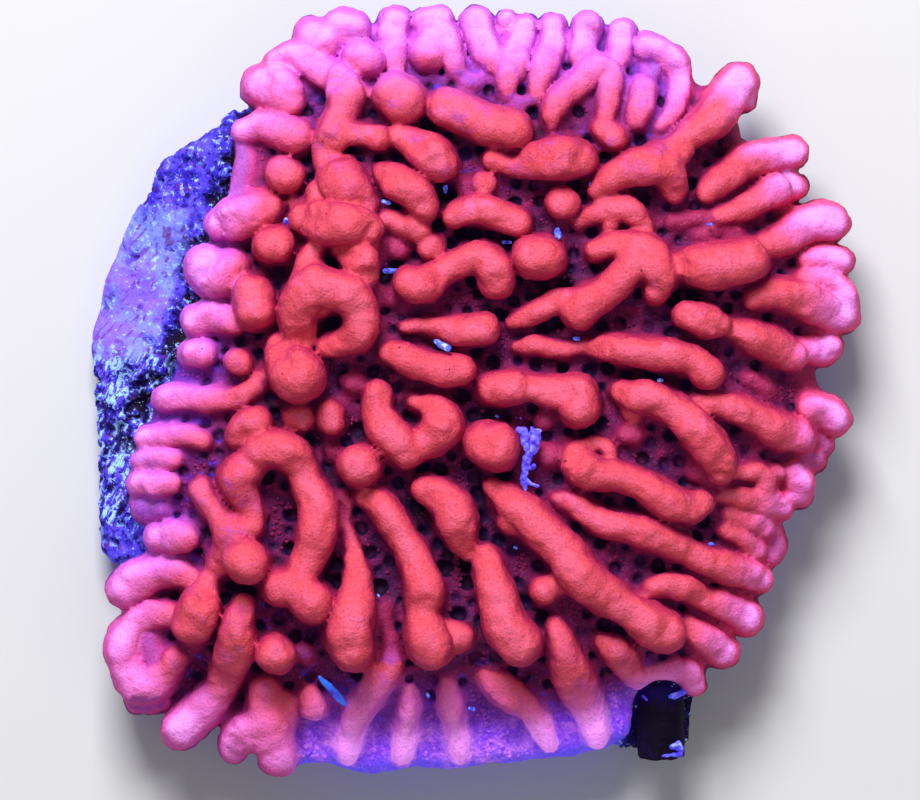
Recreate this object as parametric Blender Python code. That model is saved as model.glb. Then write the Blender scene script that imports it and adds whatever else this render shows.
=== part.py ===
"""A small encrusting ridged coral colony, on the loose piece of rock it grew over.

Frame: origin at the middle of the flat underside of the rock, +Z up through the growth face,
+Y towards the pink upper margin, -X towards the bare shoulder of rock. Lengths below are in
millimetres and angles in degrees. The meshes are made in millimetres and scaled to metres last.
"""

from dataclasses import dataclass
from math import cos, radians, sin

import bmesh
import bpy
import numpy as np
from mathutils import Matrix, Vector, noise

MM = 0.001

# Driving dimensions of the crust that the ridges stand on
RIM_TOP = 4.6
DOME_RISE = 5.0
DOME_REACH = 11.0
CREST_RISE = 2.2
CREST_CENTRE = (-8.5, 9.0)
CREST_SPREAD = (5.0, 9.5)
CREST_FROM_EDGE = 0.6
SKIRT_DROP = 1.3
SKIRT_FROM = -15.0
SKIRT_TO = -19.0
SKIRT_FROM_EDGE = 0.25
RIM_THICKNESS = 1.2
CRUST_THICKNESS = 2.4
THICKENS_OVER = 6.0

# The left rim is lifted by the bare shoulder: where the lift starts and is whole, in x and y
WEST_RIM_LIFT = 1.9
WEST_LIFT_FADE = 0.5
WEST_LIFT_ACROSS = (-10.0, -15.0)
WEST_LIFT_LOWER = (-13.0, -8.0)
WEST_LIFT_UPPER = (19.5, 15.0)

# How far the middle of a ridge's round top stands over the crust, in ridge radii
CREST = 2.1
TALL = 1.8
MID = 1.25
LOW = 0.45
RIDGE_GROWTH = 0.16

# The stem under each stretch of ridge: width in radii, and centre and half height in stands and radii
STEM_WAIST = 0.85
STEM_CENTRE = 0.4
STEM_STANDS = 0.6
STEM_RADII = 0.5

# Driving dimensions of the rock
CLEARANCE = 0.35
ROCK_SHOULDER = 4.4
ROCK_SLOPE = 0.38
ROCK_COVERED_FROM = 0.9
ROCK_ROUGHNESS = 0.75
ROCK_GRAIN = 3.4
ROCK_GRAIN_OCTAVES = 3
ROCK_GRAIN_DIMENSION = 0.8
ROCK_GRAIN_LACUNARITY = 2.2

# The ledge that carries the tube: its height, and where it starts and is whole, in x and y
ROCK_LEDGE = 2.3
LEDGE_ACROSS = (8.5, 9.6)
LEDGE_DOWN = (-16.6, -17.6)

# The broken side of the rock: share of its height and how far it stands out there
ROCK_WALL = ((0.8, 0.15), (0.5, 0.5), (0.2, 0.1), (0.0, -0.7))
ROCK_WALL_ROUGHNESS = 0.7
ROCK_WALL_VARIETY = 9.0

# Driving dimensions of the worm tube at the lower right of the rim
TUBE_RADIUS = 1.45
TUBE_BORE = 1.0
TUBE_BORE_DEPTH = 2.2
TUBE_LENGTH = 4.1
TUBE_TILT = 10.0
TUBE_MOUTH_RAKE = 0.45
TUBE_FOOT = (11.5, -22.7)
TUBE_BORE_TAPER = 0.85
TUBE_SIDES = 14
NOTCH_MARGIN = 0.35
NOTCH_HEAD = 0.6
NOTCH_STEP = 20
NOTCH_PAST_RIM = 3.0
NOTCH_BOTTOM = -1.0
NOTCH_TOP = 20.0

# Meshing
VOXEL = 0.36
SMOOTH_SHARE = 0.5
SMOOTH_STEPS = 4
CORAL_TRIANGLES = 7900
CRUST_SPOKES = 120
CRUST_RINGS = 26
ROCK_SPOKES = 56
ROCK_RINGS = 9
ROCK_CROWDING = 1.7
BEAD_STEP = 0.4
EDGE_STEP = 1.0

# The edge of the crust between its lumps, clockwise seen from above, from the upper left
CRUST_EDGE = (
    (-14.2, 17.6), (-13.2, 19.7), (-11.0, 21.7), (-8.4, 23.0), (-6.5, 22.8), (-3.5, 23.2), (0.8, 22.8),
    (4.2, 22.7), (8.0, 22.5), (10.8, 21.7), (12.8, 19.9), (14.2, 19.4), (15.8, 19.6), (16.6, 18.0),
    (16.6, 16.1), (18.9, 15.0), (19.4, 12.6), (20.9, 10.5), (21.8, 8.6), (22.6, 6.3), (22.1, 3.5),
    (21.2, 1.5), (21.9, -0.8), (21.3, -3.5), (20.1, -6.2), (18.9, -8.2), (18.4, -10.7), (17.2, -13.0),
    (15.8, -15.2), (14.3, -17.4), (13.2, -18.9), (11.6, -20.3), (9.6, -21.5), (8.2, -22.2), (5.0, -22.9),
    (0.0, -23.4), (-5.0, -23.6), (-7.5, -23.8), (-9.5, -23.3), (-11.3, -23.2), (-14.0, -22.0),
    (-16.3, -20.6), (-19.5, -19.5), (-21.8, -18.6), (-22.6, -16.2), (-21.9, -14.1), (-22.3, -12.2),
    (-20.8, -10.3), (-20.4, -8.8), (-20.9, -7.3), (-21.4, -5.5), (-21.2, -3.5), (-20.4, -1.2),
    (-19.3, 0.6), (-18.3, 2.8), (-17.3, 5.6), (-16.6, 8.8), (-15.6, 11.4), (-14.8, 14.0), (-14.4, 16.2),
)

# The edge of the rock: bare on the left, just inside the coral elsewhere, with a ledge for the tube
ROCK_EDGE = (
    (-13.6, 17.9), (-15.3, 17.3), (-17.0, 15.8), (-19.4, 14.5), (-20.2, 12.8), (-21.6, 10.5),
    (-23.1, 7.0), (-23.9, 3.9), (-23.7, 1.0), (-23.4, -3.6), (-23.3, -8.6), (-22.8, -10.1),
    (-20.6, -10.9), (-20.2, -13.0), (-20.4, -16.0), (-18.2, -18.6), (-13.5, -20.2), (-7.0, -21.6),
    (0.0, -21.6), (6.0, -21.3), (10.3, -22.1), (12.7, -22.1), (13.0, -20.0), (13.6, -17.2),
    (15.6, -13.0), (17.3, -9.0), (19.2, -5.0), (20.1, -1.0), (19.8, 2.5), (20.8, 6.0), (19.9, 9.5),
    (18.3, 12.6), (15.4, 14.6), (14.6, 17.6), (11.6, 18.8), (8.0, 20.9), (3.0, 21.4), (-3.0, 21.8),
    (-7.5, 21.4), (-10.6, 19.9),
)


@dataclass(frozen=True)
class Ridge:
    """A rounded ridge or knob: how high it stands, and x, y and radius along its top."""

    stand: float
    path: tuple


# Pink lumps and short ridges of the upper margin
NORTH_RIM = (
    Ridge(MID, ((-13.3, 19.2, 1.3), (-12.3, 18.9, 1.4), (-11.8, 18.3, 1.1))),
    Ridge(MID, ((-12.6, 20.8, 0.75), (-11.4, 21.0, 1.0), (-10.2, 20.4, 0.95), (-9.2, 19.8, 0.95))),
    Ridge(MID, ((-10.3, 22.3, 1.1), (-9.7, 21.9, 1.2))),
    Ridge(MID, ((-8.5, 22.9, 1.15), (-7.9, 22.7, 1.15))),
    Ridge(MID, ((-7.3, 20.9, 1.15), (-7.0, 20.7, 1.15))),
    Ridge(MID, ((-5.2, 23.2, 1.0), (-5.3, 22.2, 0.95), (-5.2, 21.1, 0.75), (-5.1, 20.2, 0.5))),
    Ridge(MID, ((-3.3, 23.2, 0.85), (-2.4, 23.4, 0.85))),
    Ridge(MID, ((-2.5, 22.5, 1.0), (-3.1, 21.3, 1.15))),
    Ridge(MID, ((-2.1, 22.3, 0.95), (-1.7, 21.2, 0.8), (-1.3, 20.2, 0.5))),
    Ridge(MID, ((-0.1, 23.3, 0.95), (0.2, 22.3, 0.95), (0.7, 21.1, 0.85), (0.9, 20.4, 0.6))),
    Ridge(LOW, ((-1.6, 21.0, 0.4), (-1.2, 20.0, 0.4), (-0.4, 19.3, 0.5), (0.4, 19.8, 0.4),
                (0.6, 20.6, 0.45))),
    Ridge(MID, ((1.8, 23.4, 0.6), (1.8, 22.9, 0.55))),
    Ridge(MID, ((3.0, 22.9, 0.75), (2.5, 21.6, 0.85), (2.2, 20.5, 0.95), (1.8, 19.4, 0.7),
                (1.8, 18.6, 0.45))),
    Ridge(MID, ((4.7, 23.0, 0.75), (4.7, 21.7, 0.8), (4.2, 20.5, 0.85), (3.8, 19.4, 0.6),
                (3.6, 18.4, 0.4))),
    Ridge(LOW, ((1.8, 18.5, 0.4), (2.8, 18.0, 0.45), (3.6, 18.4, 0.4))),
    Ridge(MID, ((7.3, 20.3, 0.95), (6.4, 19.4, 0.8), (5.3, 18.4, 0.85), (4.7, 17.5, 0.75),
                (4.6, 16.7, 0.5))),
    Ridge(MID, ((7.3, 20.3, 0.9), (8.2, 20.1, 0.8), (8.3, 19.0, 0.75), (8.0, 17.8, 0.6),
                (7.9, 17.0, 0.55))),
    Ridge(MID, ((7.8, 16.5, 0.7), (8.4, 15.9, 0.85))),
    Ridge(MID, ((6.9, 23.0, 0.9), (6.6, 21.9, 0.8), (6.2, 21.0, 0.55))),
    Ridge(MID, ((9.0, 22.6, 0.8), (8.9, 21.6, 0.75), (8.9, 20.9, 0.6))),
    Ridge(MID, ((10.6, 21.6, 0.9), (11.4, 21.4, 0.85), (12.2, 20.8, 0.85), (12.6, 19.6, 0.75),
                (12.5, 18.4, 0.7), (12.0, 17.3, 0.55), (11.4, 16.6, 0.45))),
    Ridge(MID, ((10.3, 18.9, 0.85), (10.1, 17.9, 0.85), (9.9, 16.9, 0.6))),
    Ridge(LOW, ((10.8, 21.0, 0.6), (10.9, 20.0, 0.5))),
)

# The column of tall knobs that is the crest of the colony
CREST_COLUMN = (
    Ridge(TALL, ((-8.6, 19.6, 0.9), (-8.2, 18.7, 1.15), (-8.45, 17.4, 0.95), (-8.9, 16.2, 1.05),
                 (-9.3, 15.0, 0.85), (-9.2, 14.2, 0.85))),
    Ridge(TALL, ((-8.0, 19.0, 0.9), (-7.2, 18.7, 0.6))),
    Ridge(TALL, ((-8.4, 16.2, 0.8), (-7.2, 16.1, 0.7), (-6.2, 15.85, 0.85))),
    Ridge(MID, ((-8.5, 13.3, 1.35), (-8.0, 12.7, 1.35), (-7.2, 11.7, 0.95))),
    Ridge(CREST, ((-10.8, 10.9, 0.9), (-9.9, 10.7, 1.15), (-9.1, 10.5, 1.3), (-8.2, 10.5, 1.25),
                  (-7.3, 10.4, 1.1), (-6.8, 10.2, 0.9))),
    Ridge(TALL, ((-9.9, 12.4, 0.75), (-9.8, 11.4, 0.85))),
    Ridge(MID, ((-11.4, 11.9, 0.5), (-10.8, 11.5, 0.65))),
    Ridge(TALL, ((-8.6, 8.8, 0.45), (-7.8, 8.5, 0.85), (-7.2, 8.2, 1.1), (-7.0, 7.4, 0.9))),
    Ridge(MID, ((-6.7, 9.5, 0.6), (-6.7, 8.9, 0.6))),
    Ridge(CREST, ((-10.0, 9.2, 0.55), (-10.5, 8.2, 0.75), (-10.3, 7.3, 0.95), (-10.5, 6.3, 1.3),
                  (-11.1, 5.2, 1.2), (-11.1, 4.1, 1.0), (-10.7, 3.3, 0.65))),
    Ridge(CREST, ((-10.0, 6.7, 1.25), (-8.9, 6.4, 1.2), (-7.8, 6.0, 1.2), (-7.2, 4.9, 1.05),
                  (-7.3, 3.8, 1.05), (-8.4, 3.1, 0.8), (-9.4, 2.9, 0.6))),
    Ridge(TALL, ((-10.0, 5.5, 0.9), (-9.3, 5.5, 0.6))),
    Ridge(CREST, ((-12.5, 3.1, 0.6), (-12.0, 2.2, 1.15), (-11.4, 1.5, 1.55), (-11.1, 1.1, 1.6))),
    Ridge(MID, ((-9.1, -1.2, 0.85), (-9.1, -1.7, 0.85))),
    Ridge(MID, ((-11.3, -1.5, 0.8), (-11.0, -1.5, 0.85))),
    Ridge(LOW, ((-7.7, 0.6, 0.65), (-7.5, 0.6, 0.65))),
)

# Knobs and flat-lying ridges down the left flank, above the bare rock
WEST_FLANK = (
    Ridge(MID, ((-14.5, 16.4, 0.8), (-13.4, 16.8, 0.9), (-12.2, 16.4, 1.0), (-11.2, 15.9, 1.05))),
    Ridge(LOW, ((-14.6, 15.4, 0.5), (-14.5, 14.4, 0.6), (-14.6, 13.4, 0.6), (-14.9, 12.5, 0.55))),
    Ridge(TALL, ((-12.0, 13.6, 1.1), (-11.8, 13.5, 1.1))),
    Ridge(MID, ((-16.0, 10.5, 0.95), (-14.9, 10.9, 1.3), (-13.8, 11.3, 1.25), (-12.9, 11.6, 0.9))),
    Ridge(MID, ((-16.9, 7.9, 1.3), (-16.1, 7.4, 1.45), (-15.3, 7.8, 1.1))),
    Ridge(TALL, ((-12.7, 9.2, 1.15), (-12.5, 9.2, 1.15))),
    Ridge(TALL, ((-14.0, 6.2, 1.2), (-13.8, 5.2, 1.25))),
    Ridge(MID, ((-17.5, 4.5, 0.95), (-16.4, 4.8, 0.95), (-15.2, 4.4, 0.8))),
    Ridge(MID, ((-17.7, 2.5, 0.85), (-17.2, 2.5, 0.9))),
    Ridge(TALL, ((-14.9, 2.0, 0.8), (-14.7, 1.9, 0.8))),
    Ridge(MID, ((-19.4, -0.3, 0.8), (-17.8, -0.3, 0.75), (-16.4, -0.35, 0.75), (-15.0, -0.3, 0.7),
                (-14.0, 0.3, 0.65), (-13.5, 1.0, 0.5))),
    Ridge(MID, ((-20.7, -2.8, 0.7), (-19.6, -2.7, 0.7), (-18.4, -2.6, 0.65), (-17.1, -2.9, 0.55))),
    Ridge(MID, ((-20.9, -4.2, 0.65), (-19.8, -4.1, 0.7), (-18.8, -4.1, 0.55))),
    Ridge(MID, ((-21.1, -5.6, 0.75), (-20.0, -5.6, 0.8), (-19.0, -5.6, 0.65))),
    Ridge(LOW, ((-20.8, -7.1, 0.8), (-19.8, -7.1, 0.75))),
    Ridge(MID, ((-19.8, -9.0, 0.9), (-19.0, -8.95, 1.0), (-18.2, -8.9, 0.9))),
    Ridge(MID, ((-22.0, -12.2, 1.2), (-21.1, -11.6, 1.2), (-20.1, -11.2, 1.05), (-18.9, -11.1, 0.95),
                (-17.9, -11.4, 0.75))),
)

# Orange ridges between the crest and the upper margin
UPPER_MIDDLE = (
    Ridge(TALL, ((-5.1, 18.5, 1.4), (-4.7, 18.2, 1.45))),
    Ridge(TALL, ((-4.9, 16.0, 0.75), (-4.0, 15.6, 0.85), (-3.0, 14.9, 1.2), (-2.4, 14.3, 1.15))),
    Ridge(TALL, ((-5.9, 13.6, 0.6), (-5.0, 13.1, 1.0), (-4.0, 12.5, 1.1), (-3.4, 11.6, 0.95))),
    Ridge(TALL, ((-2.0, 17.8, 1.15), (-0.8, 17.3, 1.2), (0.6, 16.7, 1.2), (2.1, 16.4, 1.25))),
    Ridge(TALL, ((0.9, 14.5, 0.65), (2.3, 14.1, 0.65), (3.6, 14.4, 1.0), (5.0, 14.6, 1.3),
                 (6.4, 14.5, 1.0))),
    Ridge(MID, ((0.3, 13.0, 0.75), (0.5, 13.0, 0.75))),
    Ridge(LOW, ((-0.8, 12.8, 0.6), (-0.6, 12.8, 0.6))),
    Ridge(MID, ((5.1, 11.8, 0.95), (5.3, 11.8, 0.95))),
)

# The ridges of the broad middle, right of the crest
MIDDLE = (
    Ridge(MID, ((-5.6, 10.8, 0.6), (-4.7, 10.4, 0.75), (-3.7, 10.1, 0.75))),
    Ridge(MID, ((-3.0, 9.1, 0.75), (-2.8, 9.1, 0.75))),
    Ridge(LOW, ((-5.3, 9.0, 0.7), (-5.1, 9.0, 0.7))),
    Ridge(LOW, ((-6.6, 6.8, 0.5), (-5.6, 5.9, 0.5))),
    Ridge(TALL, ((-1.5, 10.9, 0.7), (-0.8, 11.3, 0.85), (0.3, 11.4, 0.9), (1.6, 11.0, 0.85),
                 (2.6, 10.6, 0.8))),
    Ridge(TALL, ((-4.3, 6.9, 0.95), (-3.4, 6.7, 1.1), (-2.2, 7.6, 0.8), (-1.0, 8.2, 0.85),
                 (0.2, 8.5, 0.95), (1.0, 7.7, 1.1), (1.2, 6.9, 0.95))),
    Ridge(TALL, ((3.4, 8.5, 1.25), (4.1, 8.5, 1.3))),
    Ridge(TALL, ((-4.6, 4.1, 0.4), (-3.2, 4.2, 0.5), (-2.0, 4.0, 0.75), (-0.8, 3.9, 0.95),
                 (0.3, 4.0, 1.0))),
    Ridge(TALL, ((-5.5, 2.6, 0.65), (-4.7, 2.3, 0.9), (-3.4, 1.8, 0.95), (-2.2, 1.5, 1.05),
                 (-1.1, 1.5, 0.95))),
    Ridge(MID, ((6.3, 10.6, 0.4), (7.3, 11.2, 0.6), (8.3, 11.6, 0.75), (9.3, 11.5, 0.8),
                (10.0, 10.8, 0.7), (10.5, 10.3, 0.5))),
    Ridge(MID, ((8.5, 11.3, 0.6), (8.2, 10.4, 0.5))),
    Ridge(TALL, ((7.3, 8.9, 0.7), (8.4, 9.2, 0.75), (9.6, 9.1, 0.95), (10.6, 9.0, 0.95), (11.0, 8.0, 1.1),
                 (11.4, 7.1, 1.0), (11.1, 6.4, 0.8))),
    Ridge(TALL, ((9.9, 8.4, 1.0), (9.2, 7.5, 1.0), (8.0, 6.4, 0.95), (6.8, 5.7, 1.05), (6.2, 5.0, 1.05))),
    Ridge(TALL, ((6.0, 5.6, 0.9), (4.9, 5.7, 0.7), (3.8, 5.2, 0.7), (2.8, 4.7, 0.6), (2.1, 4.4, 0.4))),
    Ridge(MID, ((2.4, 2.9, 0.4), (3.4, 3.0, 0.6), (4.6, 2.8, 0.55), (5.6, 2.8, 0.5), (6.6, 2.9, 0.5))),
    Ridge(TALL, ((7.2, 2.8, 0.55), (8.4, 2.8, 0.9), (10.0, 2.6, 0.95), (11.8, 2.4, 0.95),
                 (13.2, 2.1, 0.9), (14.3, 1.3, 1.0))),
    Ridge(TALL, ((0.9, 0.3, 0.95), (2.0, 0.4, 1.05), (3.1, 0.35, 0.85), (4.2, 0.2, 0.95),
                 (5.3, 0.1, 1.05), (6.2, 0.0, 1.2), (6.3, -0.9, 1.2))),
    Ridge(TALL, ((8.8, 0.1, 0.65), (9.8, -0.2, 0.95), (10.9, -0.3, 1.0), (12.2, -1.0, 0.95),
                 (13.2, -1.9, 1.1), (14.2, -3.0, 1.15), (14.9, -4.1, 1.1), (15.0, -4.8, 0.9))),
    Ridge(MID, ((9.6, -1.0, 0.7), (9.6, -1.5, 0.55))),
    Ridge(LOW, ((9.3, -2.5, 0.75), (9.6, -2.5, 0.75))),
    Ridge(TALL, ((-6.2, 0.0, 0.85), (-6.2, -1.1, 0.9), (-5.8, -2.1, 1.1), (-5.1, -2.9, 1.2),
                 (-4.4, -3.6, 1.1))),
    Ridge(TALL, ((-4.2, -3.5, 0.9), (-3.0, -2.8, 1.05), (-2.2, -1.9, 1.25), (-2.7, -0.9, 0.85),
                 (-3.9, -0.5, 0.5))),
    Ridge(TALL, ((-7.4, -4.45, 1.25), (-7.2, -4.45, 1.25))),
    Ridge(LOW, ((-9.1, -3.6, 0.5), (-8.7, -3.6, 0.5))),
    Ridge(TALL, ((0.4, -3.05, 1.25), (1.2, -3.3, 1.45))),
    Ridge(LOW, ((4.1, -1.6, 0.6), (4.3, -1.4, 0.6))),
    Ridge(LOW, ((4.4, -3.9, 0.75), (4.6, -3.9, 0.75))),
)

# Fingers and lobes that reach the upper right and right margins
EAST_SIDE = (
    Ridge(TALL, ((7.4, 12.6, 0.6), (8.4, 13.4, 0.9), (9.6, 14.0, 1.05), (11.0, 14.3, 1.2),
                 (12.2, 15.0, 0.95), (12.9, 15.9, 0.8), (14.0, 16.6, 1.05), (15.0, 17.6, 1.2),
                 (15.8, 18.8, 1.15), (16.3, 19.5, 1.15))),
    Ridge(TALL, ((11.6, 14.0, 1.1), (12.1, 13.0, 0.9), (12.2, 12.5, 0.65))),
    Ridge(MID, ((16.9, 19.0, 0.6), (16.9, 18.2, 0.5))),
    Ridge(MID, ((14.3, 12.6, 0.75), (15.6, 13.6, 0.95), (17.0, 14.5, 1.05), (18.5, 14.9, 1.0),
                (19.7, 15.1, 0.95))),
    Ridge(MID, ((15.0, 11.0, 0.6), (16.4, 11.5, 0.8), (17.6, 12.2, 0.95), (18.6, 12.8, 1.0))),
    Ridge(MID, ((19.3, 13.5, 0.65), (19.7, 13.0, 0.8))),
    Ridge(MID, ((18.1, 9.3, 0.85), (19.3, 9.8, 1.0), (20.4, 10.5, 1.1), (21.5, 10.8, 1.15),
                (22.1, 10.7, 1.1))),
    Ridge(MID, ((20.6, 8.3, 0.65), (21.7, 8.4, 0.9), (22.6, 8.3, 0.9))),
    Ridge(TALL, ((12.6, 8.0, 0.8), (13.8, 7.9, 1.25), (15.3, 8.0, 1.35), (16.7, 8.3, 1.35))),
    Ridge(LOW, ((13.8, 9.7, 0.5), (14.8, 10.1, 0.5), (16.0, 10.0, 0.5))),
    Ridge(LOW, ((12.0, 10.6, 0.45), (13.5, 10.8, 0.5), (15.0, 10.8, 0.5))),
    Ridge(TALL, ((13.0, 4.9, 0.85), (14.0, 4.5, 1.0), (15.0, 4.3, 0.75))),
    Ridge(MID, ((16.0, 3.9, 0.75), (17.2, 3.5, 1.0), (18.5, 2.9, 1.05), (19.6, 2.4, 0.9))),
    Ridge(MID, ((20.4, 2.7, 0.8), (21.4, 2.7, 0.9), (21.9, 2.9, 0.9))),
    Ridge(MID, ((17.2, 5.9, 0.65), (18.6, 6.2, 0.95), (20.0, 6.0, 1.1), (21.2, 5.4, 1.15),
                (22.0, 5.0, 1.1), (22.8, 4.8, 0.95))),
    Ridge(MID, ((20.4, 7.2, 0.6), (21.5, 7.1, 0.8), (22.4, 6.6, 0.9), (22.9, 5.9, 0.9),
                (23.0, 5.2, 0.8))),
    Ridge(MID, ((13.6, -0.6, 0.55), (15.0, -0.7, 0.75), (16.5, -1.1, 0.9), (17.8, -1.8, 0.95),
                (19.0, -2.4, 1.1), (20.0, -2.65, 1.05))),
    Ridge(MID, ((20.8, -0.9, 0.9), (21.8, -1.2, 1.0), (22.4, -1.6, 0.95))),
    Ridge(LOW, ((17.0, 0.9, 0.55), (17.9, 0.2, 0.55))),
    Ridge(LOW, ((21.2, -2.9, 0.6), (21.7, -3.3, 0.6))),
    Ridge(LOW, ((20.5, -4.1, 0.75), (21.1, -4.2, 0.7))),
    Ridge(MID, ((19.8, -4.9, 0.7), (20.1, -5.6, 0.9), (20.1, -6.2, 0.85))),
    Ridge(MID, ((16.0, -4.9, 0.5), (17.0, -4.8, 0.6), (17.7, -5.0, 0.65), (17.9, -5.8, 0.7),
                (17.8, -6.5, 0.7))),
    Ridge(MID, ((18.5, -4.9, 0.55), (18.7, -4.9, 0.55))),
    Ridge(MID, ((15.2, -6.3, 0.5), (16.4, -6.5, 0.7), (17.6, -6.7, 0.8), (18.6, -6.9, 0.85),
                (19.0, -7.1, 0.7))),
    Ridge(LOW, ((13.6, -4.9, 0.6), (14.5, -5.2, 0.7))),
    Ridge(MID, ((15.6, -7.5, 0.5), (16.8, -7.9, 0.65), (17.6, -8.1, 0.7), (18.0, -8.4, 0.6))),
    Ridge(MID, ((15.4, -8.5, 0.5), (16.3, -9.0, 0.6), (17.1, -9.5, 0.65), (17.5, -9.8, 0.55))),
    Ridge(LOW, ((18.5, -8.7, 0.6), (18.7, -9.6, 0.65), (18.4, -10.2, 0.6))),
)

# Long ridges that fan out towards the lower and the lower right margin
SOUTH_FAN = (
    Ridge(MID, ((-8.6, -6.3, 0.35), (-8.1, -6.8, 0.35), (-8.2, -8.0, 0.35), (-7.9, -9.0, 0.45),
                (-7.6, -10.2, 0.6))),
    Ridge(TALL, ((-7.6, -10.2, 0.6), (-7.5, -11.5, 0.85), (-7.55, -12.7, 1.1), (-7.75, -13.8, 1.3),
                 (-7.95, -14.9, 1.4), (-7.8, -15.8, 1.35))),
    Ridge(TALL, ((-7.1, -6.4, 0.55), (-6.4, -6.6, 0.8), (-5.7, -7.3, 0.95), (-5.1, -8.2, 0.95),
                 (-4.5, -9.2, 0.95), (-4.0, -10.2, 1.0), (-3.55, -11.2, 1.1), (-3.25, -12.2, 1.2),
                 (-3.35, -13.4, 1.0), (-3.3, -14.6, 1.2), (-2.9, -15.7, 1.35))),
    Ridge(MID, ((-1.9, -14.6, 0.65), (-1.1, -15.1, 0.85))),
    Ridge(TALL, ((-3.3, -5.9, 0.8), (-2.5, -6.2, 1.0), (-1.6, -7.0, 1.2), (-1.25, -8.0, 1.2),
                 (-0.95, -9.0, 0.9), (-0.5, -9.8, 0.6))),
    Ridge(TALL, ((0.5, -10.1, 0.8), (0.7, -10.9, 1.0), (1.0, -12.0, 1.15), (1.4, -13.2, 1.2),
                 (1.8, -14.4, 1.3), (2.6, -15.5, 1.35))),
    Ridge(TALL, ((0.9, -5.9, 0.6), (1.8, -6.5, 0.95), (2.8, -7.3, 1.1), (3.7, -8.2, 1.15),
                 (4.7, -9.1, 1.15), (5.6, -10.1, 1.2), (6.2, -11.1, 1.3), (7.3, -12.1, 1.2),
                 (8.6, -12.9, 1.1), (9.8, -13.7, 1.1), (10.9, -14.5, 1.3), (11.7, -14.8, 1.25))),
    Ridge(TALL, ((2.0, -7.9, 0.75), (2.8, -8.0, 0.8))),
    Ridge(MID, ((5.0, -11.7, 0.7), (4.1, -12.2, 0.9))),
    Ridge(TALL, ((5.9, -3.7, 0.7), (6.5, -4.7, 1.1), (7.5, -5.0, 0.95), (8.8, -5.05, 0.9),
                 (10.0, -5.6, 0.9), (11.1, -6.2, 1.0), (12.2, -6.9, 1.05), (13.2, -7.1, 0.95),
                 (13.9, -6.8, 0.75))),
    Ridge(TALL, ((6.4, -3.5, 0.7), (7.2, -3.05, 0.45), (8.0, -3.2, 0.45), (8.3, -3.9, 0.45))),
    Ridge(MID, ((5.0, -6.5, 0.5), (5.9, -6.8, 0.75), (6.9, -7.5, 0.8), (8.0, -8.1, 0.85),
                (9.2, -8.3, 0.85), (10.4, -8.7, 0.95), (11.6, -9.1, 0.9), (12.6, -9.6, 0.85),
                (13.4, -10.0, 0.7))),
    Ridge(MID, ((13.4, -10.0, 0.8), (14.6, -10.5, 0.95), (15.8, -10.9, 1.0), (16.9, -11.3, 0.95),
                (17.6, -11.7, 0.8))),
    Ridge(MID, ((10.6, -12.2, 0.55), (11.6, -11.8, 0.7), (12.6, -12.0, 0.8), (13.3, -12.3, 0.85),
                (14.1, -12.8, 0.75), (15.0, -13.1, 0.85), (16.0, -13.6, 1.0), (16.8, -14.0, 1.05))),
    Ridge(MID, ((13.2, -14.3, 0.55), (13.9, -15.1, 0.9), (14.7, -15.6, 1.0), (15.3, -16.1, 0.95))),
    Ridge(MID, ((7.7, -15.4, 0.6), (8.5, -15.9, 0.85), (9.1, -16.5, 0.95), (9.4, -17.2, 0.9),
                (10.0, -17.7, 0.7), (11.1, -17.5, 0.6), (12.3, -17.3, 0.75))),
    Ridge(MID, ((13.3, -17.4, 0.75), (13.6, -18.2, 0.7))),
    Ridge(MID, ((4.8, -14.3, 0.5), (5.1, -15.2, 0.75), (5.5, -16.2, 0.95), (5.8, -17.2, 1.2),
                (6.2, -18.2, 1.25), (6.7, -19.2, 1.0), (7.0, -20.0, 0.8), (7.3, -20.9, 0.8),
                (7.5, -21.6, 0.7))),
    Ridge(MID, ((0.4, -17.7, 0.6), (1.2, -18.2, 0.9), (2.1, -18.8, 1.0), (3.0, -19.4, 0.9),
                (3.5, -20.2, 0.7), (4.1, -21.0, 0.7), (4.5, -21.9, 0.65))),
    Ridge(MID, ((-1.9, -18.3, 0.7), (-1.8, -19.2, 0.8), (-1.5, -20.2, 0.75))),
    Ridge(LOW, ((-1.5, -20.2, 0.75), (-1.3, -21.2, 0.75), (-1.1, -22.3, 0.7))),
    Ridge(MID, ((-4.2, -18.6, 0.55), (-4.3, -19.5, 0.65), (-4.4, -20.5, 0.65))),
    Ridge(LOW, ((-4.4, -20.5, 0.65), (-4.5, -21.4, 0.75), (-4.7, -22.5, 0.8))),
    Ridge(LOW, ((-5.8, -13.3, 0.4), (-5.7, -14.5, 0.5), (-5.4, -15.8, 0.6), (-5.4, -16.8, 0.7))),
    Ridge(MID, ((-5.4, -17.0, 0.8), (-6.2, -18.1, 0.95), (-7.0, -19.0, 0.95), (-7.5, -19.9, 0.85),
                (-7.8, -20.9, 0.8))),
    Ridge(LOW, ((-7.8, -20.9, 0.7), (-8.1, -21.8, 0.85), (-8.1, -22.6, 0.7))),
)

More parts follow.
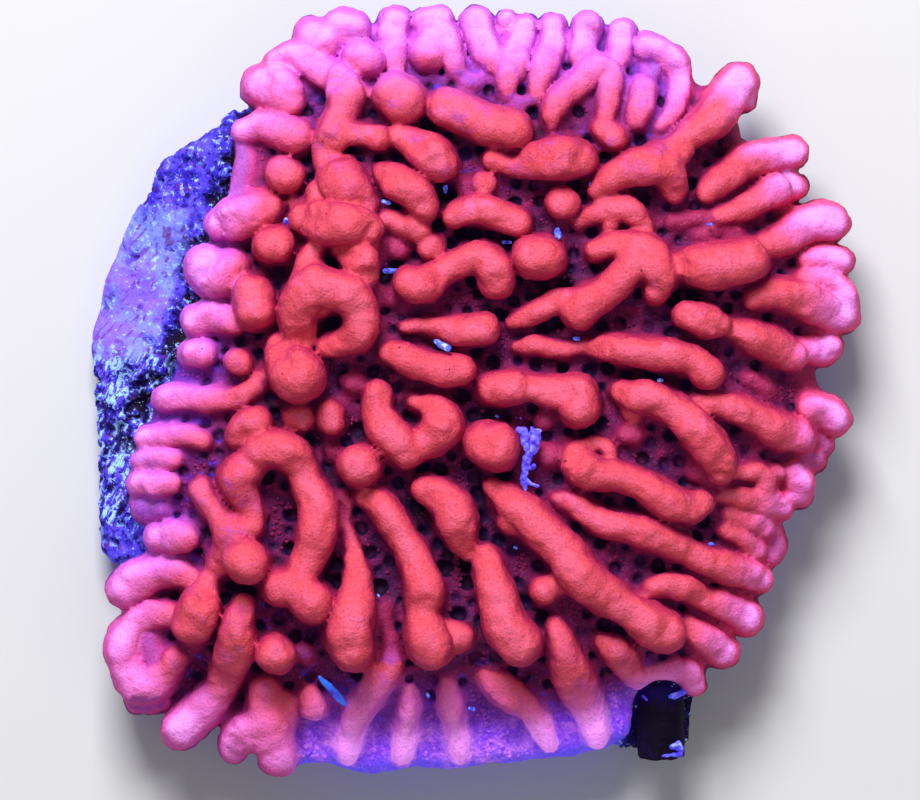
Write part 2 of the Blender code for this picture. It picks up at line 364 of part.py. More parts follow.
# Tall knobs, arches and thick fingers of the lower left corner
SOUTH_WEST = (
    Ridge(TALL, ((-14.9, -2.8, 0.6), (-14.4, -2.0, 0.9), (-13.8, -1.8, 0.95))),
    Ridge(TALL, ((-13.6, -3.6, 1.0), (-12.6, -3.4, 1.15), (-11.6, -3.7, 1.15), (-10.9, -4.7, 0.95),
                 (-10.6, -5.6, 0.95), (-10.0, -6.6, 1.1), (-9.8, -7.7, 1.15), (-10.0, -8.8, 1.15),
                 (-10.4, -9.9, 1.0), (-10.9, -11.0, 1.0))),
    Ridge(TALL, ((-12.2, -12.0, 1.1), (-11.3, -12.1, 1.1), (-10.3, -12.9, 1.3))),
    Ridge(MID, ((-13.9, -4.2, 1.0), (-14.9, -5.2, 1.15), (-14.5, -6.4, 0.9), (-14.0, -7.4, 0.7),
                (-14.1, -8.3, 0.8))),
    Ridge(MID, ((-17.2, -5.9, 0.75), (-16.7, -6.8, 0.75), (-16.0, -7.7, 0.8), (-15.3, -8.5, 1.0),
                (-15.3, -9.6, 0.95), (-16.0, -10.6, 0.75), (-16.6, -11.5, 0.6))),
    Ridge(CREST, ((-14.4, -10.3, 1.35), (-14.3, -10.4, 1.35))),
    Ridge(TALL, ((-16.7, -11.6, 0.6), (-16.9, -12.3, 0.8), (-17.3, -13.4, 1.3), (-17.7, -14.4, 1.2))),
    Ridge(TALL, ((-14.6, -13.2, 0.7), (-14.9, -14.3, 1.0), (-14.9, -15.3, 1.1), (-15.2, -16.3, 1.1),
                 (-15.6, -17.3, 1.05), (-16.0, -18.3, 0.9))),
    Ridge(MID, ((-16.0, -18.3, 0.9), (-16.9, -19.4, 1.1), (-17.7, -20.2, 1.15), (-18.5, -21.0, 1.15))),
    Ridge(TALL, ((-12.6, -16.1, 1.15), (-12.5, -16.2, 1.15))),
    Ridge(LOW, ((-10.9, -15.9, 0.55), (-10.7, -16.1, 0.55))),
    Ridge(MID, ((-13.2, -18.5, 1.0), (-13.2, -19.5, 1.15), (-13.1, -20.5, 1.3), (-13.0, -21.4, 1.2))),
    Ridge(MID, ((-13.8, -20.9, 1.2), (-14.8, -21.4, 1.1), (-15.2, -22.0, 0.85), (-15.3, -22.5, 0.6))),
    Ridge(MID, ((-12.7, -21.8, 1.1), (-12.4, -22.7, 1.15))),
    Ridge(MID, ((-12.1, -19.3, 0.85), (-12.0, -20.2, 0.75))),
    Ridge(MID, ((-10.5, -18.9, 0.8), (-10.2, -19.4, 0.95))),
    Ridge(MID, ((-19.4, -13.7, 0.8), (-20.4, -13.8, 0.9), (-21.2, -14.3, 0.95), (-21.9, -15.2, 1.1),
                (-22.1, -16.2, 1.1), (-21.8, -17.3, 1.05), (-21.2, -18.2, 1.15), (-20.3, -18.1, 1.1),
                (-19.5, -17.3, 0.95), (-18.9, -16.5, 0.75))),
    Ridge(LOW, ((-20.5, -15.4, 0.8), (-20.3, -16.4, 0.8))),
    Ridge(LOW, ((-21.2, -19.2, 0.8), (-20.4, -19.3, 0.7), (-19.9, -19.2, 0.6))),
)

RIDGES = NORTH_RIM + CREST_COLUMN + WEST_FLANK + UPPER_MIDDLE + MIDDLE + EAST_SIDE + SOUTH_FAN + SOUTH_WEST


def clear_scene():
    """Remove what the file holds before the model is made."""
    for thing in list(bpy.data.objects):
        bpy.data.objects.remove(thing)


def smoothstep(low, high, value):
    """Rise smoothly from 0 at low to 1 at high, for numbers or arrays."""
    share = np.clip((value - low) / (high - low), 0.0, 1.0)
    return share * share * (3.0 - 2.0 * share)


def spline(points, step, closed):
    """Points a set step apart on a smooth curve through the given points."""
    knots = np.array(points, dtype=float)
    count = len(knots)
    if closed:
        wrapped = np.vstack([knots[-1], knots, knots[0], knots[1]])
        spans = count
    else:
        wrapped = np.vstack([2 * knots[0] - knots[1], knots, 2 * knots[-1] - knots[-2]])
        spans = count - 1
    result = []
    for index in range(spans):
        before, start, end, after = wrapped[index:index + 4]
        pieces = max(1, int(np.ceil(np.linalg.norm(end[:2] - start[:2]) / step)))
        for share in np.arange(pieces) / pieces:
            pull_out = share * (2 * share - share * share - 1)
            from_start = share * share * (3 * share - 5) + 2
            from_end = share * (4 * share - 3 * share * share + 1)
            pull_in = share * share * (share - 1)
            result.append(0.5 * (pull_out * before + from_start * start + from_end * end + pull_in * after))
    if not closed:
        result.append(knots[-1])
    return np.array(result)


EDGE_LINE = spline(CRUST_EDGE, EDGE_STEP, closed=True)


def inside_distance(places, edge):
    """Distance from each place to a closed edge, positive inside it."""
    start = edge
    along = np.roll(edge, -1, axis=0) - start
    nearest = np.full(len(places), np.inf)
    crossings = np.zeros(len(places), dtype=int)
    for (x0, y0), (dx, dy) in zip(start, along):
        offset_x = places[:, 0] - x0
        offset_y = places[:, 1] - y0
        share = np.clip((offset_x * dx + offset_y * dy) / (dx * dx + dy * dy), 0.0, 1.0)
        gap = np.hypot(offset_x - share * dx, offset_y - share * dy)
        nearest = np.minimum(nearest, gap)
        spans = (y0 > places[:, 1]) != (y0 + dy > places[:, 1])
        if dy:
            crossings += spans & (offset_x < offset_y * dx / dy)
    return np.where(crossings % 2 == 1, nearest, -nearest)


def crust_top(places):
    """Height of the crust's upper surface between the ridges."""
    x, y = places[:, 0], places[:, 1]
    inside = np.clip(inside_distance(places, EDGE_LINE) / DOME_REACH, 0.0, 1.0)
    dome = DOME_RISE * (1.0 - (1.0 - inside) ** 2)
    beside_rock = smoothstep(*WEST_LIFT_LOWER, y) * smoothstep(*WEST_LIFT_UPPER, y)
    lift = WEST_RIM_LIFT * smoothstep(*WEST_LIFT_ACROSS, x) * beside_rock * (1.0 - WEST_LIFT_FADE * inside)
    across = ((x - CREST_CENTRE[0]) / CREST_SPREAD[0]) ** 2
    down = ((y - CREST_CENTRE[1]) / CREST_SPREAD[1]) ** 2
    crest = CREST_RISE * np.exp(-across - down) * smoothstep(0.0, CREST_FROM_EDGE, inside)
    skirt = SKIRT_DROP * smoothstep(SKIRT_FROM, SKIRT_TO, y) * smoothstep(0.0, SKIRT_FROM_EDGE, inside)
    return RIM_TOP + lift + dome + crest - skirt


def crust_bottom(places):
    """Height of the crust's underside, which follows the rock."""
    inside = np.clip(inside_distance(places, EDGE_LINE) / THICKENS_OVER, 0.0, 1.0)
    return crust_top(places) - RIM_THICKNESS - (CRUST_THICKNESS - RIM_THICKNESS) * inside


def rock_top(places):
    """Height of the rock: close under the crust, and sloping away where it is bare."""
    inside = inside_distance(places, EDGE_LINE)
    covered = crust_bottom(places) - CLEARANCE
    settings = (ROCK_GRAIN_DIMENSION, ROCK_GRAIN_LACUNARITY, ROCK_GRAIN_OCTAVES)
    grain = np.array([noise.fractal(Vector((x, y, 0.0)) / ROCK_GRAIN, *settings) for x, y in places])
    x, y = places[:, 0], places[:, 1]
    bare = ROCK_SHOULDER + ROCK_SLOPE * np.minimum(inside, 0.0) + ROCK_ROUGHNESS * grain
    ledge = smoothstep(*LEDGE_ACROSS, x) * smoothstep(*LEDGE_DOWN, y)
    under = covered - 0.5 * ROCK_ROUGHNESS * np.abs(grain)
    lower = np.where(inside > ROCK_COVERED_FROM, under, np.minimum(under, bare))
    return lower * (1.0 - ledge) + ROCK_LEDGE * ledge


def star_grid(edge, rings, crowding=1.0):
    """Rings of points between the origin and an edge around it, outermost last and closest together."""
    shares = 1.0 - (1.0 - np.linspace(1.0 / rings, 1.0, rings)) ** crowding
    return np.vstack([share * edge for share in shares])


def sheet_faces(rings, spokes, first, upward):
    """Faces of a star grid whose centre point comes first, wound up or down."""
    faces = []
    for spoke in range(spokes):
        following = (spoke + 1) % spokes
        ring_start = first + 1
        fan = (first, ring_start + spoke, ring_start + following)
        faces.append(fan if upward else fan[::-1])
        for ring in range(rings - 1):
            inner = ring_start + ring * spokes
            outer = inner + spokes
            quad = (inner + spoke, outer + spoke, outer + following, inner + following)
            faces.append(quad if upward else quad[::-1])
    return faces


def evenly(line, count):
    """A closed line cut into a set number of equal steps, anticlockwise."""
    closed = np.vstack([line, line[:1]])
    lengths = np.concatenate([[0.0], np.cumsum(np.linalg.norm(np.diff(closed, axis=0), axis=1))])
    marks = np.linspace(0.0, lengths[-1], count, endpoint=False)
    result = np.column_stack([np.interp(marks, lengths, closed[:, axis]) for axis in (0, 1)])
    following = np.roll(result, -1, axis=0)
    area = np.sum(result[:, 0] * following[:, 1] - following[:, 0] * result[:, 1])
    return result if area > 0 else result[::-1]


def domed_slab(edge, rings, top, bottom):
    """Vertices and faces of a closed slab between two height functions over one edge."""
    places = np.vstack([(0.0, 0.0), star_grid(edge, rings)])
    upper = np.column_stack([places, top(places)])
    lower = np.column_stack([places, bottom(places)])
    spokes, count = len(edge), len(places)
    faces = sheet_faces(rings, spokes, 0, True) + sheet_faces(rings, spokes, count, False)
    rim = count - spokes
    for spoke in range(spokes):
        following = (spoke + 1) % spokes
        faces.append((rim + following, rim + spoke, rim + spoke + count, rim + following + count))
    return np.vstack([upper, lower]), faces


def unit_ball():
    """Vertices and faces of a ball of radius 1 made of 80 triangles."""
    ball = bmesh.new()
    bmesh.ops.create_icosphere(ball, subdivisions=2, radius=1.0)
    places = np.array([corner.co[:] for corner in ball.verts])
    faces = [tuple(corner.index for corner in face.verts) for face in ball.faces]
    ball.free()
    return places, faces


def ridge_balls(ridge):
    """Centre and half-sizes of the balls that fill one ridge, from its top to its foot."""
    line = spline(ridge.path, BEAD_STEP, closed=False)
    ground = crust_top(line[:, :2])
    balls = []
    for (x, y, read_radius), floor in zip(line, ground):
        radius = read_radius + RIDGE_GROWTH
        stand = ridge.stand * read_radius
        balls.append((x, y, floor + stand, radius, radius))
        waist = STEM_WAIST * radius
        half_height = STEM_STANDS * stand + STEM_RADII * radius
        balls.append((x, y, floor + STEM_CENTRE * stand, waist, half_height))
    return balls


def gather(parts):
    """One list of vertices and faces from several."""
    places, faces, start = [], [], 0
    for part_places, part_faces in parts:
        places.append(part_places)
        faces.extend(tuple(start + corner for corner in face) for face in part_faces)
        start += len(part_places)
    return np.vstack(places), faces


def add_object(name, places, faces, material):
    """A new object with this mesh and material."""
    mesh = bpy.data.meshes.new(name)
    mesh.from_pydata([tuple(place) for place in places], [], faces)
    mesh.validate()
    thing = bpy.data.objects.new(name, mesh)
    thing.data.materials.append(material)
    bpy.context.scene.collection.objects.link(thing)
    return thing


def evaluated_mesh(thing):
    """The mesh of an object with its modifiers applied."""
    graph = bpy.context.evaluated_depsgraph_get()
    return bpy.data.meshes.new_from_object(thing.evaluated_get(graph), depsgraph=graph)


def settle(thing):
    """Apply an object's modifiers to its mesh and remove them."""
    mesh = evaluated_mesh(thing)
    thing.modifiers.clear()
    thing.data = mesh


def keep_largest_shell(mesh):
    """Delete closed pockets and crumbs, so that one outer skin is left."""
    skin = bmesh.new()
    skin.from_mesh(mesh)
    unseen = set(skin.faces)
    shells = []
    while unseen:
        stack = [unseen.pop()]
        shell = list(stack)
        while stack:
            for edge in stack.pop().edges:
                for face in edge.link_faces:
                    if face in unseen:
                        unseen.remove(face)
                        stack.append(face)
                        shell.append(face)
        shells.append(shell)
    shells.sort(key=len)
    crumbs = [face for shell in shells[:-1] for face in shell]
    bmesh.ops.delete(skin, geom=crumbs, context="FACES")
    skin.to_mesh(mesh)
    skin.free()


def finish(name, colour, roughness, metallic):
    """A plain material with the piece's colour and surface."""
    material = bpy.data.materials.new(name)
    material.use_nodes = True
    surface = material.node_tree.nodes["Principled BSDF"]
    surface.inputs["Base Color"].default_value = (*colour, 1.0)
    surface.inputs["Roughness"].default_value = roughness
    surface.inputs["Metallic"].default_value = metallic
    return material


def notch_cutter():
    """A round-ended slot in plan, where the tube keeps the coral's margin open."""
    half_width = TUBE_RADIUS + NOTCH_MARGIN
    x, foot = TUBE_FOOT
    head = foot + TUBE_LENGTH - NOTCH_HEAD * half_width
    turns = [radians(angle) for angle in range(0, 181, NOTCH_STEP)]
    plan = [(x + half_width * cos(turn), head + half_width * sin(turn)) for turn in turns]
    plan += [(x - half_width, foot - NOTCH_PAST_RIM), (x + half_width, foot - NOTCH_PAST_RIM)]
    count = len(plan)
    places = [(px, py, NOTCH_BOTTOM) for px, py in plan] + [(px, py, NOTCH_TOP) for px, py in plan]
    faces = [tuple(range(count))[::-1], tuple(range(count, 2 * count))]
    for corner in range(count):
        following = (corner + 1) % count
        faces.append((corner, following, following + count, corner + count))
    cutter = add_object("tube_notch", places, faces, finish("notch", (0.5, 0.5, 0.5), 1.0, 0.0))
    cutter.hide_render = True
    cutter.display_type = "WIRE"
    return cutter


def make_coral():
    """The colony: a thin domed crust with its ridges and knobs, fused in one skin."""
    edge = evenly(EDGE_LINE, CRUST_SPOKES)
    crust = domed_slab(edge, CRUST_RINGS, crust_top, crust_bottom)
    ball_places, ball_faces = unit_ball()
    parts = [crust]
    for ridge in RIDGES:
        for x, y, z, wide, high in ridge_balls(ridge):
            parts.append((ball_places * (wide, wide, high) + (x, y, z), ball_faces))
    places, faces = gather(parts)
    coral = add_object("coral_colony", places, faces, finish("living_coral", (0.86, 0.16, 0.17), 0.6, 0.0))

    remesh = coral.modifiers.new("one skin", "REMESH")
    remesh.mode = "VOXEL"
    remesh.voxel_size = VOXEL
    smooth = coral.modifiers.new("soften", "SMOOTH")
    smooth.factor = SMOOTH_SHARE
    smooth.iterations = SMOOTH_STEPS
    settle(coral)
    keep_largest_shell(coral.data)

    thin = coral.modifiers.new("fewer faces", "DECIMATE")
    triangles = sum(len(face.vertices) - 2 for face in coral.data.polygons)
    thin.ratio = CORAL_TRIANGLES / triangles
    thin.use_collapse_triangulate = True
    settle(coral)

    cutter = notch_cutter()
    notch = coral.modifiers.new("tube notch", "BOOLEAN")
    notch.operation = "DIFFERENCE"
    notch.object = cutter
    settle(coral)
    bpy.data.objects.remove(cutter)
    keep_largest_shell(coral.data)
    return coral


def make_rock():
    """The loose piece of rock: domed under the crust, bare on the left, broken sides, a flat cut below."""
    edge = evenly(spline(ROCK_EDGE, EDGE_STEP, closed=True), ROCK_SPOKES)
    plan = np.vstack([(0.0, 0.0), star_grid(edge, ROCK_RINGS, ROCK_CROWDING)])
    top = np.column_stack([plan, rock_top(plan)])
    faces = sheet_faces(ROCK_RINGS, ROCK_SPOKES, 0, True)
    outward = edge / np.linalg.norm(edge, axis=1)[:, None]
    shoulder = top[-ROCK_SPOKES:, 2]
    rings = [top]
    for share, swell in ROCK_WALL:
        knobs = [noise.noise(Vector((x, y, ROCK_WALL_VARIETY * share)) / ROCK_GRAIN) for x, y in edge]
        offset = swell + ROCK_WALL_ROUGHNESS * np.array(knobs)
        rings.append(np.column_stack([edge + outward * offset[:, None], share * shoulder]))
    places = np.vstack(rings)
    for ring in range(len(ROCK_WALL)):
        upper = len(plan) + (ring - 1) * ROCK_SPOKES
        for spoke in range(ROCK_SPOKES):
            following = (spoke + 1) % ROCK_SPOKES
            lower = upper + ROCK_SPOKES
            faces.append((upper + spoke, lower + spoke, lower + following, upper + following))
    faces.append(tuple(range(len(places) - ROCK_SPOKES, len(places)))[::-1])
    return add_object("base_rock", places, faces, finish("reef_rock", (0.17, 0.14, 0.42), 0.85, 0.0))


def make_tube():
    """The stub of a worm tube, which leans on the rock's ledge with its mouth uphill."""
    turns = [radians(360.0 * side / TUBE_SIDES) for side in range(TUBE_SIDES)]
    rings = (
        (TUBE_RADIUS, 0.0),
        (TUBE_RADIUS, TUBE_LENGTH),
        (TUBE_BORE, TUBE_LENGTH),
        (TUBE_BORE_TAPER * TUBE_BORE, TUBE_LENGTH - TUBE_BORE_DEPTH),
    )
    places = []
    for radius, along in rings:
        for turn in turns:
            rake = TUBE_MOUTH_RAKE * radius * sin(turn) if along == TUBE_LENGTH else 0.0
            places.append((radius * cos(turn), radius * sin(turn), along - rake))
    faces = [tuple(range(TUBE_SIDES))[::-1]]
    for ring in range(len(rings) - 1):
        for side in range(TUBE_SIDES):
            following = (side + 1) % TUBE_SIDES
            start = ring * TUBE_SIDES
            above = start + TUBE_SIDES
            faces.append((start + side, start + following, above + following, above + side))
    faces.append(tuple(range((len(rings) - 1) * TUBE_SIDES, len(rings) * TUBE_SIDES)))
    tube = add_object("worm_tube", places, faces, finish("tube_wall", (0.03, 0.015, 0.07), 0.5, 0.0))
    height = ROCK_LEDGE + CLEARANCE + TUBE_RADIUS * cos(radians(TUBE_TILT))
    lie = Matrix.Rotation(radians(TUBE_TILT - 90.0), 4, "X")
    tube.data.transform(Matrix.Translation((*TUBE_FOOT, height)) @ lie)
    return tube


def main():
    """Make the three pieces and bring them to metres."""
    clear_scene()
    for piece in (make_coral(), make_rock(), make_tube()):
        piece.data.transform(Matrix.Scale(MM, 4))
        piece.data.shade_smooth()


main()
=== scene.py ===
"""Looks of a small ridged encrusting coral colony on the loose piece of rock it grew over.

Lengths are in millimetres until a mesh is finished, and then in metres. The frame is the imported
model's own: origin at the middle of the flat underside of the rock, +Z up through the growth
face, +Y towards the pink upper margin, -X towards the bare shoulder of rock.
"""

from __future__ import annotations

import logging
from dataclasses import dataclass
from enum import Enum
from math import cos, pi, radians, sin

import bmesh
import bpy
import numpy as np
import openvdb
from mathutils import Matrix, Vector, noise


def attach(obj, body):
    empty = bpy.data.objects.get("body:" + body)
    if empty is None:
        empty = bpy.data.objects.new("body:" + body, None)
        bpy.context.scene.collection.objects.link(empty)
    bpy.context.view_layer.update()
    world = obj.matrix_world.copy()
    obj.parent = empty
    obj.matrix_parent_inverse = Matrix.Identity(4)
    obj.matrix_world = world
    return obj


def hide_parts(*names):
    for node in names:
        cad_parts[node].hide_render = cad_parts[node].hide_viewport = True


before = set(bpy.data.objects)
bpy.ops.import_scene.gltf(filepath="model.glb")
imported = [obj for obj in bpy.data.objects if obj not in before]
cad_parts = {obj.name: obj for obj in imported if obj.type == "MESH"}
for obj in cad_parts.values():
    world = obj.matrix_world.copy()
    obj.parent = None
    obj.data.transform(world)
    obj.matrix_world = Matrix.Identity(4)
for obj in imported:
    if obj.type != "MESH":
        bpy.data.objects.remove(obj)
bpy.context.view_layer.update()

MM = 0.001
BODY = "root"
LOG = logging.getLogger("coral")

Span = tuple[float, float]
Point2 = tuple[float, float]
Point3 = tuple[float, float, float]
Colour = tuple[float, float, float]
Outline = tuple[Point2, ...]


class Stand(Enum):
    """How far the middle of a ridge's round top stands over the crust, in ridge radii."""

    CREST = 2.1
    TALL = 1.8
    MID = 1.25
    LOW = 0.45


@dataclass(frozen=True)
class Ridge:
    """A rounded ridge or knob: how high it stands, and x, y and radius along its top."""

    stand: Stand
    path: tuple[Point3, ...]


# Outlines and ridges of the colony, read in plan

# Longest distance between two points along either outline
EDGE_STEP = 1.0

# The edge of the crust between its lumps, clockwise seen from above, from the upper left
CRUST_EDGE: Outline = (
    (-14.2, 17.6), (-13.2, 19.7), (-11.0, 21.7), (-8.4, 23.0), (-6.5, 22.8), (-3.5, 23.2),
    (0.8, 22.8), (4.2, 22.7), (8.0, 22.5), (10.8, 21.7), (12.8, 19.9), (14.2, 19.4), (15.8, 19.6),
    (16.6, 18.0), (16.6, 16.1), (18.9, 15.0), (19.4, 12.6), (20.9, 10.5), (21.8, 8.6), (22.6, 6.3),
    (22.1, 3.5), (21.2, 1.5), (21.9, -0.8), (21.3, -3.5), (20.1, -6.2), (18.9, -8.2), (18.4, -10.7),
    (17.2, -13.0), (15.8, -15.2), (14.3, -17.4), (13.2, -18.9), (11.6, -20.3), (9.6, -21.5),
    (8.2, -22.2), (5.0, -22.9), (0.0, -23.4), (-5.0, -23.6), (-7.5, -23.8), (-9.5, -23.3),
    (-11.3, -23.2), (-14.0, -22.0), (-16.3, -20.6), (-19.5, -19.5), (-21.8, -18.6), (-22.6, -16.2),
    (-21.9, -14.1), (-22.3, -12.2), (-20.8, -10.3), (-20.4, -8.8), (-20.9, -7.3), (-21.4, -5.5),
    (-21.2, -3.5), (-20.4, -1.2), (-19.3, 0.6), (-18.3, 2.8), (-17.3, 5.6), (-16.6, 8.8),
    (-15.6, 11.4), (-14.8, 14.0), (-14.4, 16.2),
)

# The edge of the rock: bare on the left, just inside the coral elsewhere, with a ledge for the tube
ROCK_EDGE: Outline = (
    (-13.6, 17.9), (-15.3, 17.3), (-17.0, 15.8), (-19.4, 14.5), (-20.2, 12.8), (-21.6, 10.5),
    (-23.1, 7.0), (-23.9, 3.9), (-23.7, 1.0), (-23.4, -3.6), (-23.3, -8.6), (-22.8, -10.1),
    (-20.6, -10.9), (-20.2, -13.0), (-20.4, -16.0), (-18.2, -18.6), (-13.5, -20.2), (-7.0, -21.6),
    (0.0, -21.6), (6.0, -21.3), (10.3, -22.1), (12.7, -22.1), (13.0, -20.0), (13.6, -17.2),
    (15.6, -13.0), (17.3, -9.0), (19.2, -5.0), (20.1, -1.0), (19.8, 2.5), (20.8, 6.0), (19.9, 9.5),
    (18.3, 12.6), (15.4, 14.6), (14.6, 17.6), (11.6, 18.8), (8.0, 20.9), (3.0, 21.4), (-3.0, 21.8),
    (-7.5, 21.4), (-10.6, 19.9),
)

# Pink lumps and short ridges of the upper margin
NORTH_RIM: tuple[Ridge, ...] = (
    Ridge(Stand.MID, ((-13.3, 19.2, 1.3), (-12.3, 18.9, 1.4), (-11.8, 18.3, 1.1))),
    Ridge(Stand.MID, ((-12.6, 20.8, 0.75), (-11.4, 21.0, 1.0), (-10.2, 20.4, 0.95), (-9.2, 19.8, 0.95))),
    Ridge(Stand.MID, ((-10.3, 22.3, 1.1), (-9.7, 21.9, 1.2))),
    Ridge(Stand.MID, ((-8.5, 22.9, 1.15), (-7.9, 22.7, 1.15))),
    Ridge(Stand.MID, ((-7.3, 20.9, 1.15), (-7.0, 20.7, 1.15))),
    Ridge(Stand.MID, ((-5.2, 23.2, 1.0), (-5.3, 22.2, 0.95), (-5.2, 21.1, 0.75), (-5.1, 20.2, 0.5))),
    Ridge(Stand.MID, ((-3.3, 23.2, 0.85), (-2.4, 23.4, 0.85))),
    Ridge(Stand.MID, ((-2.5, 22.5, 1.0), (-3.1, 21.3, 1.15))),
    Ridge(Stand.MID, ((-2.1, 22.3, 0.95), (-1.7, 21.2, 0.8), (-1.3, 20.2, 0.5))),
    Ridge(Stand.MID, ((-0.1, 23.3, 0.95), (0.2, 22.3, 0.95), (0.7, 21.1, 0.85), (0.9, 20.4, 0.6))),
    Ridge(Stand.LOW, ((-1.6, 21.0, 0.4), (-1.2, 20.0, 0.4), (-0.4, 19.3, 0.5), (0.4, 19.8, 0.4),
        (0.6, 20.6, 0.45))),
    Ridge(Stand.MID, ((1.8, 23.4, 0.6), (1.8, 22.9, 0.55))),
    Ridge(Stand.MID, ((3.0, 22.9, 0.75), (2.5, 21.6, 0.85), (2.2, 20.5, 0.95), (1.8, 19.4, 0.7),
        (1.8, 18.6, 0.45))),
    Ridge(Stand.MID, ((4.7, 23.0, 0.75), (4.7, 21.7, 0.8), (4.2, 20.5, 0.85), (3.8, 19.4, 0.6),
        (3.6, 18.4, 0.4))),
    Ridge(Stand.LOW, ((1.8, 18.5, 0.4), (2.8, 18.0, 0.45), (3.6, 18.4, 0.4))),
    Ridge(Stand.MID, ((7.3, 20.3, 0.95), (6.4, 19.4, 0.8), (5.3, 18.4, 0.85), (4.7, 17.5, 0.75),
        (4.6, 16.7, 0.5))),
    Ridge(Stand.MID, ((7.3, 20.3, 0.9), (8.2, 20.1, 0.8), (8.3, 19.0, 0.75), (8.0, 17.8, 0.6),
        (7.9, 17.0, 0.55))),
    Ridge(Stand.MID, ((7.8, 16.5, 0.7), (8.4, 15.9, 0.85))),
    Ridge(Stand.MID, ((6.9, 23.0, 0.9), (6.6, 21.9, 0.8), (6.2, 21.0, 0.55))),
    Ridge(Stand.MID, ((9.0, 22.6, 0.8), (8.9, 21.6, 0.75), (8.9, 20.9, 0.6))),
    Ridge(Stand.MID, ((10.6, 21.6, 0.9), (11.4, 21.4, 0.85), (12.2, 20.8, 0.85), (12.6, 19.6, 0.75),
        (12.5, 18.4, 0.7), (12.0, 17.3, 0.55), (11.4, 16.6, 0.45))),
    Ridge(Stand.MID, ((10.3, 18.9, 0.85), (10.1, 17.9, 0.85), (9.9, 16.9, 0.6))),
    Ridge(Stand.LOW, ((10.8, 21.0, 0.6), (10.9, 20.0, 0.5))),
)

# The column of tall knobs that is the crest of the colony
CREST_COLUMN: tuple[Ridge, ...] = (
    Ridge(Stand.TALL, ((-8.6, 19.6, 0.9), (-8.2, 18.7, 1.15), (-8.45, 17.4, 0.95), (-8.9, 16.2, 1.05),
        (-9.3, 15.0, 0.85), (-9.2, 14.2, 0.85))),
    Ridge(Stand.TALL, ((-8.0, 19.0, 0.9), (-7.2, 18.7, 0.6))),
    Ridge(Stand.TALL, ((-8.4, 16.2, 0.8), (-7.2, 16.1, 0.7), (-6.2, 15.85, 0.85))),
    Ridge(Stand.MID, ((-8.5, 13.3, 1.35), (-8.0, 12.7, 1.35), (-7.2, 11.7, 0.95))),
    Ridge(Stand.CREST, ((-10.8, 10.9, 0.9), (-9.9, 10.7, 1.15), (-9.1, 10.5, 1.3), (-8.2, 10.5, 1.25),
        (-7.3, 10.4, 1.1), (-6.8, 10.2, 0.9))),
    Ridge(Stand.TALL, ((-9.9, 12.4, 0.75), (-9.8, 11.4, 0.85))),
    Ridge(Stand.MID, ((-11.4, 11.9, 0.5), (-10.8, 11.5, 0.65))),
    Ridge(Stand.TALL, ((-8.6, 8.8, 0.45), (-7.8, 8.5, 0.85), (-7.2, 8.2, 1.1), (-7.0, 7.4, 0.9))),
    Ridge(Stand.MID, ((-6.7, 9.5, 0.6), (-6.7, 8.9, 0.6))),
    Ridge(Stand.CREST, ((-10.0, 9.2, 0.55), (-10.5, 8.2, 0.75), (-10.3, 7.3, 0.95), (-10.5, 6.3, 1.3),
        (-11.1, 5.2, 1.2), (-11.1, 4.1, 1.0), (-10.7, 3.3, 0.65))),
    Ridge(Stand.CREST, ((-10.0, 6.7, 1.25), (-8.9, 6.4, 1.2), (-7.8, 6.0, 1.2), (-7.2, 4.9, 1.05),
        (-7.3, 3.8, 1.05), (-8.4, 3.1, 0.8), (-9.4, 2.9, 0.6))),
    Ridge(Stand.TALL, ((-10.0, 5.5, 0.9), (-9.3, 5.5, 0.6))),
    Ridge(Stand.CREST, ((-12.5, 3.1, 0.6), (-12.0, 2.2, 1.15), (-11.4, 1.5, 1.55), (-11.1, 1.1, 1.6))),
    Ridge(Stand.MID, ((-9.1, -1.2, 0.85), (-9.1, -1.7, 0.85))),
    Ridge(Stand.MID, ((-11.3, -1.5, 0.8), (-11.0, -1.5, 0.85))),
    Ridge(Stand.LOW, ((-7.7, 0.6, 0.65), (-7.5, 0.6, 0.65))),
)

